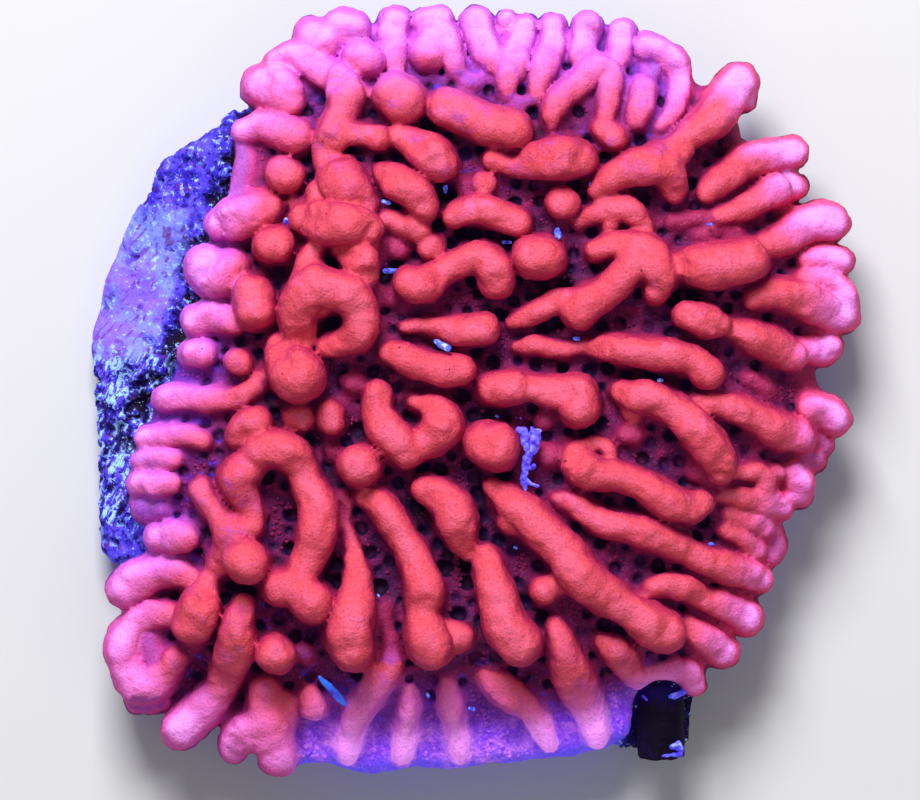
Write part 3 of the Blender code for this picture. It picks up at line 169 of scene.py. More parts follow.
# Knobs and flat-lying ridges down the left flank, above the bare rock
WEST_FLANK: tuple[Ridge, ...] = (
    Ridge(Stand.MID, ((-14.5, 16.4, 0.8), (-13.4, 16.8, 0.9), (-12.2, 16.4, 1.0), (-11.2, 15.9, 1.05))),
    Ridge(Stand.LOW, ((-14.6, 15.4, 0.5), (-14.5, 14.4, 0.6), (-14.6, 13.4, 0.6), (-14.9, 12.5, 0.55))),
    Ridge(Stand.TALL, ((-12.0, 13.6, 1.1), (-11.8, 13.5, 1.1))),
    Ridge(Stand.MID, ((-16.0, 10.5, 0.95), (-14.9, 10.9, 1.3), (-13.8, 11.3, 1.25), (-12.9, 11.6, 0.9))),
    Ridge(Stand.MID, ((-16.9, 7.9, 1.3), (-16.1, 7.4, 1.45), (-15.3, 7.8, 1.1))),
    Ridge(Stand.TALL, ((-12.7, 9.2, 1.15), (-12.5, 9.2, 1.15))),
    Ridge(Stand.TALL, ((-14.0, 6.2, 1.2), (-13.8, 5.2, 1.25))),
    Ridge(Stand.MID, ((-17.5, 4.5, 0.95), (-16.4, 4.8, 0.95), (-15.2, 4.4, 0.8))),
    Ridge(Stand.MID, ((-17.7, 2.5, 0.85), (-17.2, 2.5, 0.9))),
    Ridge(Stand.TALL, ((-14.9, 2.0, 0.8), (-14.7, 1.9, 0.8))),
    Ridge(Stand.MID, ((-19.4, -0.3, 0.8), (-17.8, -0.3, 0.75), (-16.4, -0.35, 0.75), (-15.0, -0.3, 0.7),
        (-14.0, 0.3, 0.65), (-13.5, 1.0, 0.5))),
    Ridge(Stand.MID, ((-20.7, -2.8, 0.7), (-19.6, -2.7, 0.7), (-18.4, -2.6, 0.65), (-17.1, -2.9, 0.55))),
    Ridge(Stand.MID, ((-20.9, -4.2, 0.65), (-19.8, -4.1, 0.7), (-18.8, -4.1, 0.55))),
    Ridge(Stand.MID, ((-21.1, -5.6, 0.75), (-20.0, -5.6, 0.8), (-19.0, -5.6, 0.65))),
    Ridge(Stand.LOW, ((-20.8, -7.1, 0.8), (-19.8, -7.1, 0.75))),
    Ridge(Stand.MID, ((-19.8, -9.0, 0.9), (-19.0, -8.95, 1.0), (-18.2, -8.9, 0.9))),
    Ridge(Stand.MID, ((-22.0, -12.2, 1.2), (-21.1, -11.6, 1.2), (-20.1, -11.2, 1.05), (-18.9, -11.1, 0.95),
        (-17.9, -11.4, 0.75))),
)

# Orange ridges between the crest and the upper margin
UPPER_MIDDLE: tuple[Ridge, ...] = (
    Ridge(Stand.TALL, ((-5.1, 18.5, 1.4), (-4.7, 18.2, 1.45))),
    Ridge(Stand.TALL, ((-4.9, 16.0, 0.75), (-4.0, 15.6, 0.85), (-3.0, 14.9, 1.2), (-2.4, 14.3, 1.15))),
    Ridge(Stand.TALL, ((-5.9, 13.6, 0.6), (-5.0, 13.1, 1.0), (-4.0, 12.5, 1.1), (-3.4, 11.6, 0.95))),
    Ridge(Stand.TALL, ((-2.0, 17.8, 1.15), (-0.8, 17.3, 1.2), (0.6, 16.7, 1.2), (2.1, 16.4, 1.25))),
    Ridge(Stand.TALL, ((0.9, 14.5, 0.65), (2.3, 14.1, 0.65), (3.6, 14.4, 1.0), (5.0, 14.6, 1.3),
        (6.4, 14.5, 1.0))),
    Ridge(Stand.MID, ((0.3, 13.0, 0.75), (0.5, 13.0, 0.75))),
    Ridge(Stand.LOW, ((-0.8, 12.8, 0.6), (-0.6, 12.8, 0.6))),
    Ridge(Stand.MID, ((5.1, 11.8, 0.95), (5.3, 11.8, 0.95))),
)

# The ridges of the broad middle, right of the crest
MIDDLE: tuple[Ridge, ...] = (
    Ridge(Stand.MID, ((-5.6, 10.8, 0.6), (-4.7, 10.4, 0.75), (-3.7, 10.1, 0.75))),
    Ridge(Stand.MID, ((-3.0, 9.1, 0.75), (-2.8, 9.1, 0.75))),
    Ridge(Stand.LOW, ((-5.3, 9.0, 0.7), (-5.1, 9.0, 0.7))),
    Ridge(Stand.LOW, ((-6.6, 6.8, 0.5), (-5.6, 5.9, 0.5))),
    Ridge(Stand.TALL, ((-1.5, 10.9, 0.7), (-0.8, 11.3, 0.85), (0.3, 11.4, 0.9), (1.6, 11.0, 0.85),
        (2.6, 10.6, 0.8))),
    Ridge(Stand.TALL, ((-4.3, 6.9, 0.95), (-3.4, 6.7, 1.1), (-2.2, 7.6, 0.8), (-1.0, 8.2, 0.85),
        (0.2, 8.5, 0.95), (1.0, 7.7, 1.1), (1.2, 6.9, 0.95))),
    Ridge(Stand.TALL, ((3.4, 8.5, 1.25), (4.1, 8.5, 1.3))),
    Ridge(Stand.TALL, ((-4.6, 4.1, 0.4), (-3.2, 4.2, 0.5), (-2.0, 4.0, 0.75), (-0.8, 3.9, 0.95),
        (0.3, 4.0, 1.0))),
    Ridge(Stand.TALL, ((-5.5, 2.6, 0.65), (-4.7, 2.3, 0.9), (-3.4, 1.8, 0.95), (-2.2, 1.5, 1.05),
        (-1.1, 1.5, 0.95))),
    Ridge(Stand.MID, ((6.3, 10.6, 0.4), (7.3, 11.2, 0.6), (8.3, 11.6, 0.75), (9.3, 11.5, 0.8),
        (10.0, 10.8, 0.7), (10.5, 10.3, 0.5))),
    Ridge(Stand.MID, ((8.5, 11.3, 0.6), (8.2, 10.4, 0.5))),
    Ridge(Stand.TALL, ((7.3, 8.9, 0.7), (8.4, 9.2, 0.75), (9.6, 9.1, 0.95), (10.6, 9.0, 0.95),
        (11.0, 8.0, 1.1), (11.4, 7.1, 1.0), (11.1, 6.4, 0.8))),
    Ridge(Stand.TALL, ((9.9, 8.4, 1.0), (9.2, 7.5, 1.0), (8.0, 6.4, 0.95), (6.8, 5.7, 1.05),
        (6.2, 5.0, 1.05))),
    Ridge(Stand.TALL, ((6.0, 5.6, 0.9), (4.9, 5.7, 0.7), (3.8, 5.2, 0.7), (2.8, 4.7, 0.6),
        (2.1, 4.4, 0.4))),
    Ridge(Stand.MID, ((2.4, 2.9, 0.4), (3.4, 3.0, 0.6), (4.6, 2.8, 0.55), (5.6, 2.8, 0.5),
        (6.6, 2.9, 0.5))),
    Ridge(Stand.TALL, ((7.2, 2.8, 0.55), (8.4, 2.8, 0.9), (10.0, 2.6, 0.95), (11.8, 2.4, 0.95),
        (13.2, 2.1, 0.9), (14.3, 1.3, 1.0))),
    Ridge(Stand.TALL, ((0.9, 0.3, 0.95), (2.0, 0.4, 1.05), (3.1, 0.35, 0.85), (4.2, 0.2, 0.95),
        (5.3, 0.1, 1.05), (6.2, 0.0, 1.2), (6.3, -0.9, 1.2))),
    Ridge(Stand.TALL, ((8.8, 0.1, 0.65), (9.8, -0.2, 0.95), (10.9, -0.3, 1.0), (12.2, -1.0, 0.95),
        (13.2, -1.9, 1.1), (14.2, -3.0, 1.15), (14.9, -4.1, 1.1), (15.0, -4.8, 0.9))),
    Ridge(Stand.MID, ((9.6, -1.0, 0.7), (9.6, -1.5, 0.55))),
    Ridge(Stand.LOW, ((9.3, -2.5, 0.75), (9.6, -2.5, 0.75))),
    Ridge(Stand.TALL, ((-6.2, 0.0, 0.85), (-6.2, -1.1, 0.9), (-5.8, -2.1, 1.1), (-5.1, -2.9, 1.2),
        (-4.4, -3.6, 1.1))),
    Ridge(Stand.TALL, ((-4.2, -3.5, 0.9), (-3.0, -2.8, 1.05), (-2.2, -1.9, 1.25), (-2.7, -0.9, 0.85),
        (-3.9, -0.5, 0.5))),
    Ridge(Stand.TALL, ((-7.4, -4.45, 1.25), (-7.2, -4.45, 1.25))),
    Ridge(Stand.LOW, ((-9.1, -3.6, 0.5), (-8.7, -3.6, 0.5))),
    Ridge(Stand.TALL, ((0.4, -3.05, 1.25), (1.2, -3.3, 1.45))),
    Ridge(Stand.LOW, ((4.1, -1.6, 0.6), (4.3, -1.4, 0.6))),
    Ridge(Stand.LOW, ((4.4, -3.9, 0.75), (4.6, -3.9, 0.75))),
)

# Fingers and lobes that reach the upper right and right margins
EAST_SIDE: tuple[Ridge, ...] = (
    Ridge(Stand.TALL, ((7.4, 12.6, 0.6), (8.4, 13.4, 0.9), (9.6, 14.0, 1.05), (11.0, 14.3, 1.2),
        (12.2, 15.0, 0.95), (12.9, 15.9, 0.8), (14.0, 16.6, 1.05), (15.0, 17.6, 1.2), (15.8, 18.8, 1.15),
        (16.3, 19.5, 1.15))),
    Ridge(Stand.TALL, ((11.6, 14.0, 1.1), (12.1, 13.0, 0.9), (12.2, 12.5, 0.65))),
    Ridge(Stand.MID, ((16.9, 19.0, 0.6), (16.9, 18.2, 0.5))),
    Ridge(Stand.MID, ((14.3, 12.6, 0.75), (15.6, 13.6, 0.95), (17.0, 14.5, 1.05), (18.5, 14.9, 1.0),
        (19.7, 15.1, 0.95))),
    Ridge(Stand.MID, ((15.0, 11.0, 0.6), (16.4, 11.5, 0.8), (17.6, 12.2, 0.95), (18.6, 12.8, 1.0))),
    Ridge(Stand.MID, ((19.3, 13.5, 0.65), (19.7, 13.0, 0.8))),
    Ridge(Stand.MID, ((18.1, 9.3, 0.85), (19.3, 9.8, 1.0), (20.4, 10.5, 1.1), (21.5, 10.8, 1.15),
        (22.1, 10.7, 1.1))),
    Ridge(Stand.MID, ((20.6, 8.3, 0.65), (21.7, 8.4, 0.9), (22.6, 8.3, 0.9))),
    Ridge(Stand.TALL, ((12.6, 8.0, 0.8), (13.8, 7.9, 1.25), (15.3, 8.0, 1.35), (16.7, 8.3, 1.35))),
    Ridge(Stand.LOW, ((13.8, 9.7, 0.5), (14.8, 10.1, 0.5), (16.0, 10.0, 0.5))),
    Ridge(Stand.LOW, ((12.0, 10.6, 0.45), (13.5, 10.8, 0.5), (15.0, 10.8, 0.5))),
    Ridge(Stand.TALL, ((13.0, 4.9, 0.85), (14.0, 4.5, 1.0), (15.0, 4.3, 0.75))),
    Ridge(Stand.MID, ((16.0, 3.9, 0.75), (17.2, 3.5, 1.0), (18.5, 2.9, 1.05), (19.6, 2.4, 0.9))),
    Ridge(Stand.MID, ((20.4, 2.7, 0.8), (21.4, 2.7, 0.9), (21.9, 2.9, 0.9))),
    Ridge(Stand.MID, ((17.2, 5.9, 0.65), (18.6, 6.2, 0.95), (20.0, 6.0, 1.1), (21.2, 5.4, 1.15),
        (22.0, 5.0, 1.1), (22.8, 4.8, 0.95))),
    Ridge(Stand.MID, ((20.4, 7.2, 0.6), (21.5, 7.1, 0.8), (22.4, 6.6, 0.9), (22.9, 5.9, 0.9),
        (23.0, 5.2, 0.8))),
    Ridge(Stand.MID, ((13.6, -0.6, 0.55), (15.0, -0.7, 0.75), (16.5, -1.1, 0.9), (17.8, -1.8, 0.95),
        (19.0, -2.4, 1.1), (20.0, -2.65, 1.05))),
    Ridge(Stand.MID, ((20.8, -0.9, 0.9), (21.8, -1.2, 1.0), (22.4, -1.6, 0.95))),
    Ridge(Stand.LOW, ((17.0, 0.9, 0.55), (17.9, 0.2, 0.55))),
    Ridge(Stand.LOW, ((21.2, -2.9, 0.6), (21.7, -3.3, 0.6))),
    Ridge(Stand.LOW, ((20.5, -4.1, 0.75), (21.1, -4.2, 0.7))),
    Ridge(Stand.MID, ((19.8, -4.9, 0.7), (20.1, -5.6, 0.9), (20.1, -6.2, 0.85))),
    Ridge(Stand.MID, ((16.0, -4.9, 0.5), (17.0, -4.8, 0.6), (17.7, -5.0, 0.65), (17.9, -5.8, 0.7),
        (17.8, -6.5, 0.7))),
    Ridge(Stand.MID, ((18.5, -4.9, 0.55), (18.7, -4.9, 0.55))),
    Ridge(Stand.MID, ((15.2, -6.3, 0.5), (16.4, -6.5, 0.7), (17.6, -6.7, 0.8), (18.6, -6.9, 0.85),
        (19.0, -7.1, 0.7))),
    Ridge(Stand.LOW, ((13.6, -4.9, 0.6), (14.5, -5.2, 0.7))),
    Ridge(Stand.MID, ((15.6, -7.5, 0.5), (16.8, -7.9, 0.65), (17.6, -8.1, 0.7), (18.0, -8.4, 0.6))),
    Ridge(Stand.MID, ((15.4, -8.5, 0.5), (16.3, -9.0, 0.6), (17.1, -9.5, 0.65), (17.5, -9.8, 0.55))),
    Ridge(Stand.LOW, ((18.5, -8.7, 0.6), (18.7, -9.6, 0.65), (18.4, -10.2, 0.6))),
)

# Long ridges that fan out towards the lower and the lower right margin
SOUTH_FAN: tuple[Ridge, ...] = (
    Ridge(Stand.MID, ((-8.6, -6.3, 0.35), (-8.1, -6.8, 0.35), (-8.2, -8.0, 0.35), (-7.9, -9.0, 0.45),
        (-7.6, -10.2, 0.6))),
    Ridge(Stand.TALL, ((-7.6, -10.2, 0.6), (-7.5, -11.5, 0.85), (-7.55, -12.7, 1.1), (-7.75, -13.8, 1.3),
        (-7.95, -14.9, 1.4), (-7.8, -15.8, 1.35))),
    Ridge(Stand.TALL, ((-7.1, -6.4, 0.55), (-6.4, -6.6, 0.8), (-5.7, -7.3, 0.95), (-5.1, -8.2, 0.95),
        (-4.5, -9.2, 0.95), (-4.0, -10.2, 1.0), (-3.55, -11.2, 1.1), (-3.25, -12.2, 1.2),
        (-3.35, -13.4, 1.0), (-3.3, -14.6, 1.2), (-2.9, -15.7, 1.35))),
    Ridge(Stand.MID, ((-1.9, -14.6, 0.65), (-1.1, -15.1, 0.85))),
    Ridge(Stand.TALL, ((-3.3, -5.9, 0.8), (-2.5, -6.2, 1.0), (-1.6, -7.0, 1.2), (-1.25, -8.0, 1.2),
        (-0.95, -9.0, 0.9), (-0.5, -9.8, 0.6))),
    Ridge(Stand.TALL, ((0.5, -10.1, 0.8), (0.7, -10.9, 1.0), (1.0, -12.0, 1.15), (1.4, -13.2, 1.2),
        (1.8, -14.4, 1.3), (2.6, -15.5, 1.35))),
    Ridge(Stand.TALL, ((0.9, -5.9, 0.6), (1.8, -6.5, 0.95), (2.8, -7.3, 1.1), (3.7, -8.2, 1.15),
        (4.7, -9.1, 1.15), (5.6, -10.1, 1.2), (6.2, -11.1, 1.3), (7.3, -12.1, 1.2), (8.6, -12.9, 1.1),
        (9.8, -13.7, 1.1), (10.9, -14.5, 1.3), (11.7, -14.8, 1.25))),
    Ridge(Stand.TALL, ((2.0, -7.9, 0.75), (2.8, -8.0, 0.8))),
    Ridge(Stand.MID, ((5.0, -11.7, 0.7), (4.1, -12.2, 0.9))),
    Ridge(Stand.TALL, ((5.9, -3.7, 0.7), (6.5, -4.7, 1.1), (7.5, -5.0, 0.95), (8.8, -5.05, 0.9),
        (10.0, -5.6, 0.9), (11.1, -6.2, 1.0), (12.2, -6.9, 1.05), (13.2, -7.1, 0.95), (13.9, -6.8, 0.75))),
    Ridge(Stand.TALL, ((6.4, -3.5, 0.7), (7.2, -3.05, 0.45), (8.0, -3.2, 0.45), (8.3, -3.9, 0.45))),
    Ridge(Stand.MID, ((5.0, -6.5, 0.5), (5.9, -6.8, 0.75), (6.9, -7.5, 0.8), (8.0, -8.1, 0.85),
        (9.2, -8.3, 0.85), (10.4, -8.7, 0.95), (11.6, -9.1, 0.9), (12.6, -9.6, 0.85), (13.4, -10.0, 0.7))),
    Ridge(Stand.MID, ((13.4, -10.0, 0.8), (14.6, -10.5, 0.95), (15.8, -10.9, 1.0), (16.9, -11.3, 0.95),
        (17.6, -11.7, 0.8))),
    Ridge(Stand.MID, ((10.6, -12.2, 0.55), (11.6, -11.8, 0.7), (12.6, -12.0, 0.8), (13.3, -12.3, 0.85),
        (14.1, -12.8, 0.75), (15.0, -13.1, 0.85), (16.0, -13.6, 1.0), (16.8, -14.0, 1.05))),
    Ridge(Stand.MID, ((13.2, -14.3, 0.55), (13.9, -15.1, 0.9), (14.7, -15.6, 1.0), (15.3, -16.1, 0.95))),
    Ridge(Stand.MID, ((7.7, -15.4, 0.6), (8.5, -15.9, 0.85), (9.1, -16.5, 0.95), (9.4, -17.2, 0.9),
        (10.0, -17.7, 0.7), (11.1, -17.5, 0.6), (12.3, -17.3, 0.75))),
    Ridge(Stand.MID, ((13.3, -17.4, 0.75), (13.6, -18.2, 0.7))),
    Ridge(Stand.MID, ((4.8, -14.3, 0.5), (5.1, -15.2, 0.75), (5.5, -16.2, 0.95), (5.8, -17.2, 1.2),
        (6.2, -18.2, 1.25), (6.7, -19.2, 1.0), (7.0, -20.0, 0.8), (7.3, -20.9, 0.8), (7.5, -21.6, 0.7))),
    Ridge(Stand.MID, ((0.4, -17.7, 0.6), (1.2, -18.2, 0.9), (2.1, -18.8, 1.0), (3.0, -19.4, 0.9),
        (3.5, -20.2, 0.7), (4.1, -21.0, 0.7), (4.5, -21.9, 0.65))),
    Ridge(Stand.MID, ((-1.9, -18.3, 0.7), (-1.8, -19.2, 0.8), (-1.5, -20.2, 0.75))),
    Ridge(Stand.LOW, ((-1.5, -20.2, 0.75), (-1.3, -21.2, 0.75), (-1.1, -22.3, 0.7))),
    Ridge(Stand.MID, ((-4.2, -18.6, 0.55), (-4.3, -19.5, 0.65), (-4.4, -20.5, 0.65))),
    Ridge(Stand.LOW, ((-4.4, -20.5, 0.65), (-4.5, -21.4, 0.75), (-4.7, -22.5, 0.8))),
    Ridge(Stand.LOW, ((-5.8, -13.3, 0.4), (-5.7, -14.5, 0.5), (-5.4, -15.8, 0.6), (-5.4, -16.8, 0.7))),
    Ridge(Stand.MID, ((-5.4, -17.0, 0.8), (-6.2, -18.1, 0.95), (-7.0, -19.0, 0.95), (-7.5, -19.9, 0.85),
        (-7.8, -20.9, 0.8))),
    Ridge(Stand.LOW, ((-7.8, -20.9, 0.7), (-8.1, -21.8, 0.85), (-8.1, -22.6, 0.7))),
)

# Tall knobs, arches and thick fingers of the lower left corner
SOUTH_WEST: tuple[Ridge, ...] = (
    Ridge(Stand.TALL, ((-14.9, -2.8, 0.6), (-14.4, -2.0, 0.9), (-13.8, -1.8, 0.95))),
    Ridge(Stand.TALL, ((-13.6, -3.6, 1.0), (-12.6, -3.4, 1.15), (-11.6, -3.7, 1.15), (-10.9, -4.7, 0.95),
        (-10.6, -5.6, 0.95), (-10.0, -6.6, 1.1), (-9.8, -7.7, 1.15), (-10.0, -8.8, 1.15),
        (-10.4, -9.9, 1.0), (-10.9, -11.0, 1.0))),
    Ridge(Stand.TALL, ((-12.2, -12.0, 1.1), (-11.3, -12.1, 1.1), (-10.3, -12.9, 1.3))),
    Ridge(Stand.MID, ((-13.9, -4.2, 1.0), (-14.9, -5.2, 1.15), (-14.5, -6.4, 0.9), (-14.0, -7.4, 0.7),
        (-14.1, -8.3, 0.8))),
    Ridge(Stand.MID, ((-17.2, -5.9, 0.75), (-16.7, -6.8, 0.75), (-16.0, -7.7, 0.8), (-15.3, -8.5, 1.0),
        (-15.3, -9.6, 0.95), (-16.0, -10.6, 0.75), (-16.6, -11.5, 0.6))),
    Ridge(Stand.CREST, ((-14.4, -10.3, 1.35), (-14.3, -10.4, 1.35))),
    Ridge(Stand.TALL, ((-16.7, -11.6, 0.6), (-16.9, -12.3, 0.8), (-17.3, -13.4, 1.3), (-17.7, -14.4, 1.2))),
    Ridge(Stand.TALL, ((-14.6, -13.2, 0.7), (-14.9, -14.3, 1.0), (-14.9, -15.3, 1.1), (-15.2, -16.3, 1.1),
        (-15.6, -17.3, 1.05), (-16.0, -18.3, 0.9))),
    Ridge(Stand.MID, ((-16.0, -18.3, 0.9), (-16.9, -19.4, 1.1), (-17.7, -20.2, 1.15),
        (-18.5, -21.0, 1.15))),
    Ridge(Stand.TALL, ((-12.6, -16.1, 1.15), (-12.5, -16.2, 1.15))),
    Ridge(Stand.LOW, ((-10.9, -15.9, 0.55), (-10.7, -16.1, 0.55))),
    Ridge(Stand.MID, ((-13.2, -18.5, 1.0), (-13.2, -19.5, 1.15), (-13.1, -20.5, 1.3), (-13.0, -21.4, 1.2))),
    Ridge(Stand.MID, ((-13.8, -20.9, 1.2), (-14.8, -21.4, 1.1), (-15.2, -22.0, 0.85), (-15.3, -22.5, 0.6))),
    Ridge(Stand.MID, ((-12.7, -21.8, 1.1), (-12.4, -22.7, 1.15))),
    Ridge(Stand.MID, ((-12.1, -19.3, 0.85), (-12.0, -20.2, 0.75))),
    Ridge(Stand.MID, ((-10.5, -18.9, 0.8), (-10.2, -19.4, 0.95))),
    Ridge(Stand.MID, ((-19.4, -13.7, 0.8), (-20.4, -13.8, 0.9), (-21.2, -14.3, 0.95), (-21.9, -15.2, 1.1),
        (-22.1, -16.2, 1.1), (-21.8, -17.3, 1.05), (-21.2, -18.2, 1.15), (-20.3, -18.1, 1.1),
        (-19.5, -17.3, 0.95), (-18.9, -16.5, 0.75))),
    Ridge(Stand.LOW, ((-20.5, -15.4, 0.8), (-20.3, -16.4, 0.8))),
    Ridge(Stand.LOW, ((-21.2, -19.2, 0.8), (-20.4, -19.3, 0.7), (-19.9, -19.2, 0.6))),
)

RIDGES: tuple[Ridge, ...] = (
    NORTH_RIM + CREST_COLUMN + WEST_FLANK + UPPER_MIDDLE + MIDDLE + EAST_SIDE + SOUTH_FAN + SOUTH_WEST
)

# The part of the plan over which corallites and papillae are scattered
SCATTER_LOW: Point2 = (-23.0, -23.5)
SCATTER_HIGH: Point2 = (23.0, 24.0)


def srgb(red: int, green: int, blue: int) -> Colour:
    """A linear colour from one as seen on screen, 0 to 255."""
    shares = [value / 255.0 for value in (red, green, blue)]
    return tuple(
        share / 12.92 if share <= 0.04045 else ((share + 0.055) / 1.055) ** 2.4
        for share in shares
    )


def smoothstep(low: float, high: float, value: np.ndarray) -> np.ndarray:
    """Rise smoothly from 0 at low to 1 at high."""
    share = np.clip((value - low) / (high - low), 0.0, 1.0)
    return share * share * (3.0 - 2.0 * share)


@dataclass(frozen=True)
class Zone:
    """A stretch of the plan that fades in over each border, from its first y or x to its second."""

    up: tuple[Span, ...] = ()
    across: tuple[Span, ...] = ()

    def share(self, places: np.ndarray) -> np.ndarray:
        """How far places lie in the zone, 0 to 1."""
        share = np.ones(len(places))
        for axis, borders in ((1, self.up), (0, self.across)):
            for border in borders:
                share = share * smoothstep(*border, places[:, axis])
        return share


# The stretch of the rock's rim that is cut down to a ledge for the tube
TUBE_LEDGE = Zone(up=((-16.6, -17.6),), across=((8.5, 9.6),))


def smooth_min(first: np.ndarray, second: np.ndarray, blend: float) -> np.ndarray:
    """The lower of two fields, rounded over where they meet.

    Args:
        first: One field, in mm.
        second: The other field, in mm.
        blend: Size of the fillet between them, in mm.

    Returns:
        The joined field.
    """
    share = np.clip(0.5 + 0.5 * (second - first) / blend, 0.0, 1.0)
    return second + (first - second) * share - blend * share * (1.0 - share)


def smooth_max(first: np.ndarray, second: np.ndarray, blend: float) -> np.ndarray:
    """The higher of two fields, rounded over where they meet."""
    return -smooth_min(-first, -second, blend)


def spline(points: tuple, step: float, closed: bool) -> np.ndarray:
    """Points a set step apart on a smooth curve through the given points.

    Args:
        points: The points to pass through, with x and y first.
        step: Longest distance between two results, in mm.
        closed: Whether the curve returns to its first point.

    Returns:
        One row for each point of the curve.
    """
    knots = np.array(points, dtype=float)
    count = len(knots)
    if closed:
        wrapped = np.vstack([knots[-1], knots, knots[0], knots[1]])
        spans = count
    else:
        wrapped = np.vstack([2 * knots[0] - knots[1], knots, 2 * knots[-1] - knots[-2]])
        spans = count - 1
    result = []
    for index in range(spans):
        before, start, end, after = wrapped[index:index + 4]
        pieces = max(1, int(np.ceil(np.linalg.norm(end[:2] - start[:2]) / step)))
        for share in np.arange(pieces) / pieces:
            pull_out = share * (2 * share - share * share - 1)
            from_start = share * share * (3 * share - 5) + 2
            from_end = share * (4 * share - 3 * share * share + 1)
            pull_in = share * share * (share - 1)
            result.append(0.5 * (pull_out * before + from_start * start + from_end * end + pull_in * after))
    if not closed:
        result.append(knots[-1])
    return np.array(result)


def inside_distance(places: np.ndarray, edge: np.ndarray) -> np.ndarray:
    """Distance from each place to a closed edge in mm, positive inside it."""
    along = np.roll(edge, -1, axis=0) - edge
    nearest = np.full(len(places), np.inf)
    crossings = np.zeros(len(places), dtype=int)
    for (x0, y0), (dx, dy) in zip(edge, along):
        offset_x = places[:, 0] - x0
        offset_y = places[:, 1] - y0
        share = np.clip((offset_x * dx + offset_y * dy) / (dx * dx + dy * dy), 0.0, 1.0)
        gap = np.hypot(offset_x - share * dx, offset_y - share * dy)
        nearest = np.minimum(nearest, gap)
        spans = (y0 > places[:, 1]) != (y0 + dy > places[:, 1])
        if dy:
            crossings += spans & (offset_x < offset_y * dx / dy)
    return np.where(crossings % 2 == 1, nearest, -nearest)


def scattered(seed: int, count: int) -> np.ndarray:
    """Random places over the colony's plan, at a height of 0.

    Args:
        seed: What the draw starts from.
        count: How many places to draw.

    Returns:
        One row for each place, in mm.
    """
    drawn = np.random.default_rng(seed).uniform(SCATTER_LOW, SCATTER_HIGH, (count, 2))
    return np.column_stack([drawn, np.zeros(count)])


@dataclass(frozen=True)
class Lumps:
    """Fractal noise of about -1 to 1: its largest lumps' size in mm, and how it goes on to smaller ones."""

    size: float
    octaves: int
    seed: float
    dimension: float = 0.8
    lacunarity: float = 2.1

    def at(self, places: np.ndarray) -> np.ndarray:
        """The noise at places in mm, one value for each."""
        shift = Vector((self.seed, -self.seed, 0.5 * self.seed))
        shape = (self.dimension, self.lacunarity, self.octaves)
        return np.array([noise.fractal(Vector(place) / self.size + shift, *shape) for place in places])


class VoxelField:
    """A signed distance on a regular grid, negative inside the solid."""

    inset = 0.001

    def __init__(self, low: Point3, high: Point3, step: float) -> None:
        """Lay out the grid.

        Args:
            low: Lowest corner, in mm.
            high: Highest corner, in mm.
            step: Distance between grid points, in mm.
        """
        self.low = np.array(low, dtype=float)
        self.step = step
        self.axes = [np.arange(start, end, step) for start, end in zip(low, high)]
        self.shape = tuple(len(axis) for axis in self.axes)
        self.values = np.zeros(self.shape, dtype=np.float32)
        x, y = np.meshgrid(self.axes[0], self.axes[1], indexing="ij")
        self.columns = np.column_stack([x.ravel(), y.ravel()])

    def plan(self, values: np.ndarray) -> np.ndarray:
        """Values given for each column, as a grid of x and y."""
        return np.asarray(values, dtype=np.float32).reshape(self.shape[:2])

    def window(self, low: np.ndarray, high: np.ndarray) -> tuple[slice, ...]:
        """The grid range that holds a box, clipped to the grid."""
        first = np.floor((low - self.low) / self.step).astype(int)
        last = np.ceil((high - self.low) / self.step).astype(int) + 1
        return tuple(
            slice(max(0, start), min(size, end))
            for start, end, size in zip(first, last, self.shape)
        )

    def sample(self, grid: np.ndarray, places: np.ndarray) -> np.ndarray:
        """Read a grid of x and y, or of x, y and z, between its points.

        Args:
            grid: The values, of this field's shape or of its plan's.
            places: Where to read, in mm, one row of x, y and z each.

        Returns:
            One value for each place.
        """
        spot = ((places - self.low) / self.step)[:, :grid.ndim]
        spot = np.clip(spot, 0, np.array(grid.shape) - 1 - self.inset)
        base = spot.astype(int)
        share = spot - base
        total = np.zeros(len(places))
        for corner in np.ndindex(*[2] * grid.ndim):
            weight = np.prod(np.where(corner, share, 1.0 - share), axis=1)
            total += weight * grid[tuple((base + corner).T)]
        return total

    def crowding(self, reach: float) -> np.ndarray:
        """How much of the space around each grid point is solid, blurred over a reach in mm."""
        solid = (self.values < 0).astype(np.float32)
        half = max(1, int(round(reach / self.step / 2)))
        for _ in range(2):
            for axis in range(3):
                padding = [(0, 0)] * 3
                padding[axis] = (half + 1, half)
                total = np.cumsum(np.pad(solid, padding, mode="edge"), axis=axis, dtype=np.float32)
                upper = np.take(total, range(2 * half + 1, total.shape[axis]), axis=axis)
                lower = np.take(total, range(0, total.shape[axis] - 2 * half - 1), axis=axis)
                solid = (upper - lower) / (2 * half + 1)
        return solid

    def skin(self) -> tuple[np.ndarray, np.ndarray]:
        """The surface where the field is zero, as places in mm and quads wound outwards."""
        grid = openvdb.FloatGrid(1.0)
        grid.copyFromArray(self.values)
        places, quads = grid.convertToQuads(0.0)
        return places * self.step + self.low, quads


def new_object(name: str, places: np.ndarray, faces: np.ndarray | list) -> bpy.types.Object:
    """A smooth mesh object made from places in mm.

    Args:
        name: Its name.
        places: One row for each vertex, in mm.
        faces: Vertex numbers of each face, wound outwards.

    Returns:
        The object, at the origin and in metres.
    """
    mesh = bpy.data.meshes.new(name)
    corners = faces.tolist() if isinstance(faces, np.ndarray) else faces
    mesh.from_pydata((np.asarray(places) * MM).tolist(), [], corners)
    mesh.validate()
    mesh.shade_smooth()
    thing = bpy.data.objects.new(name, mesh)
    bpy.context.scene.collection.objects.link(thing)
    return thing


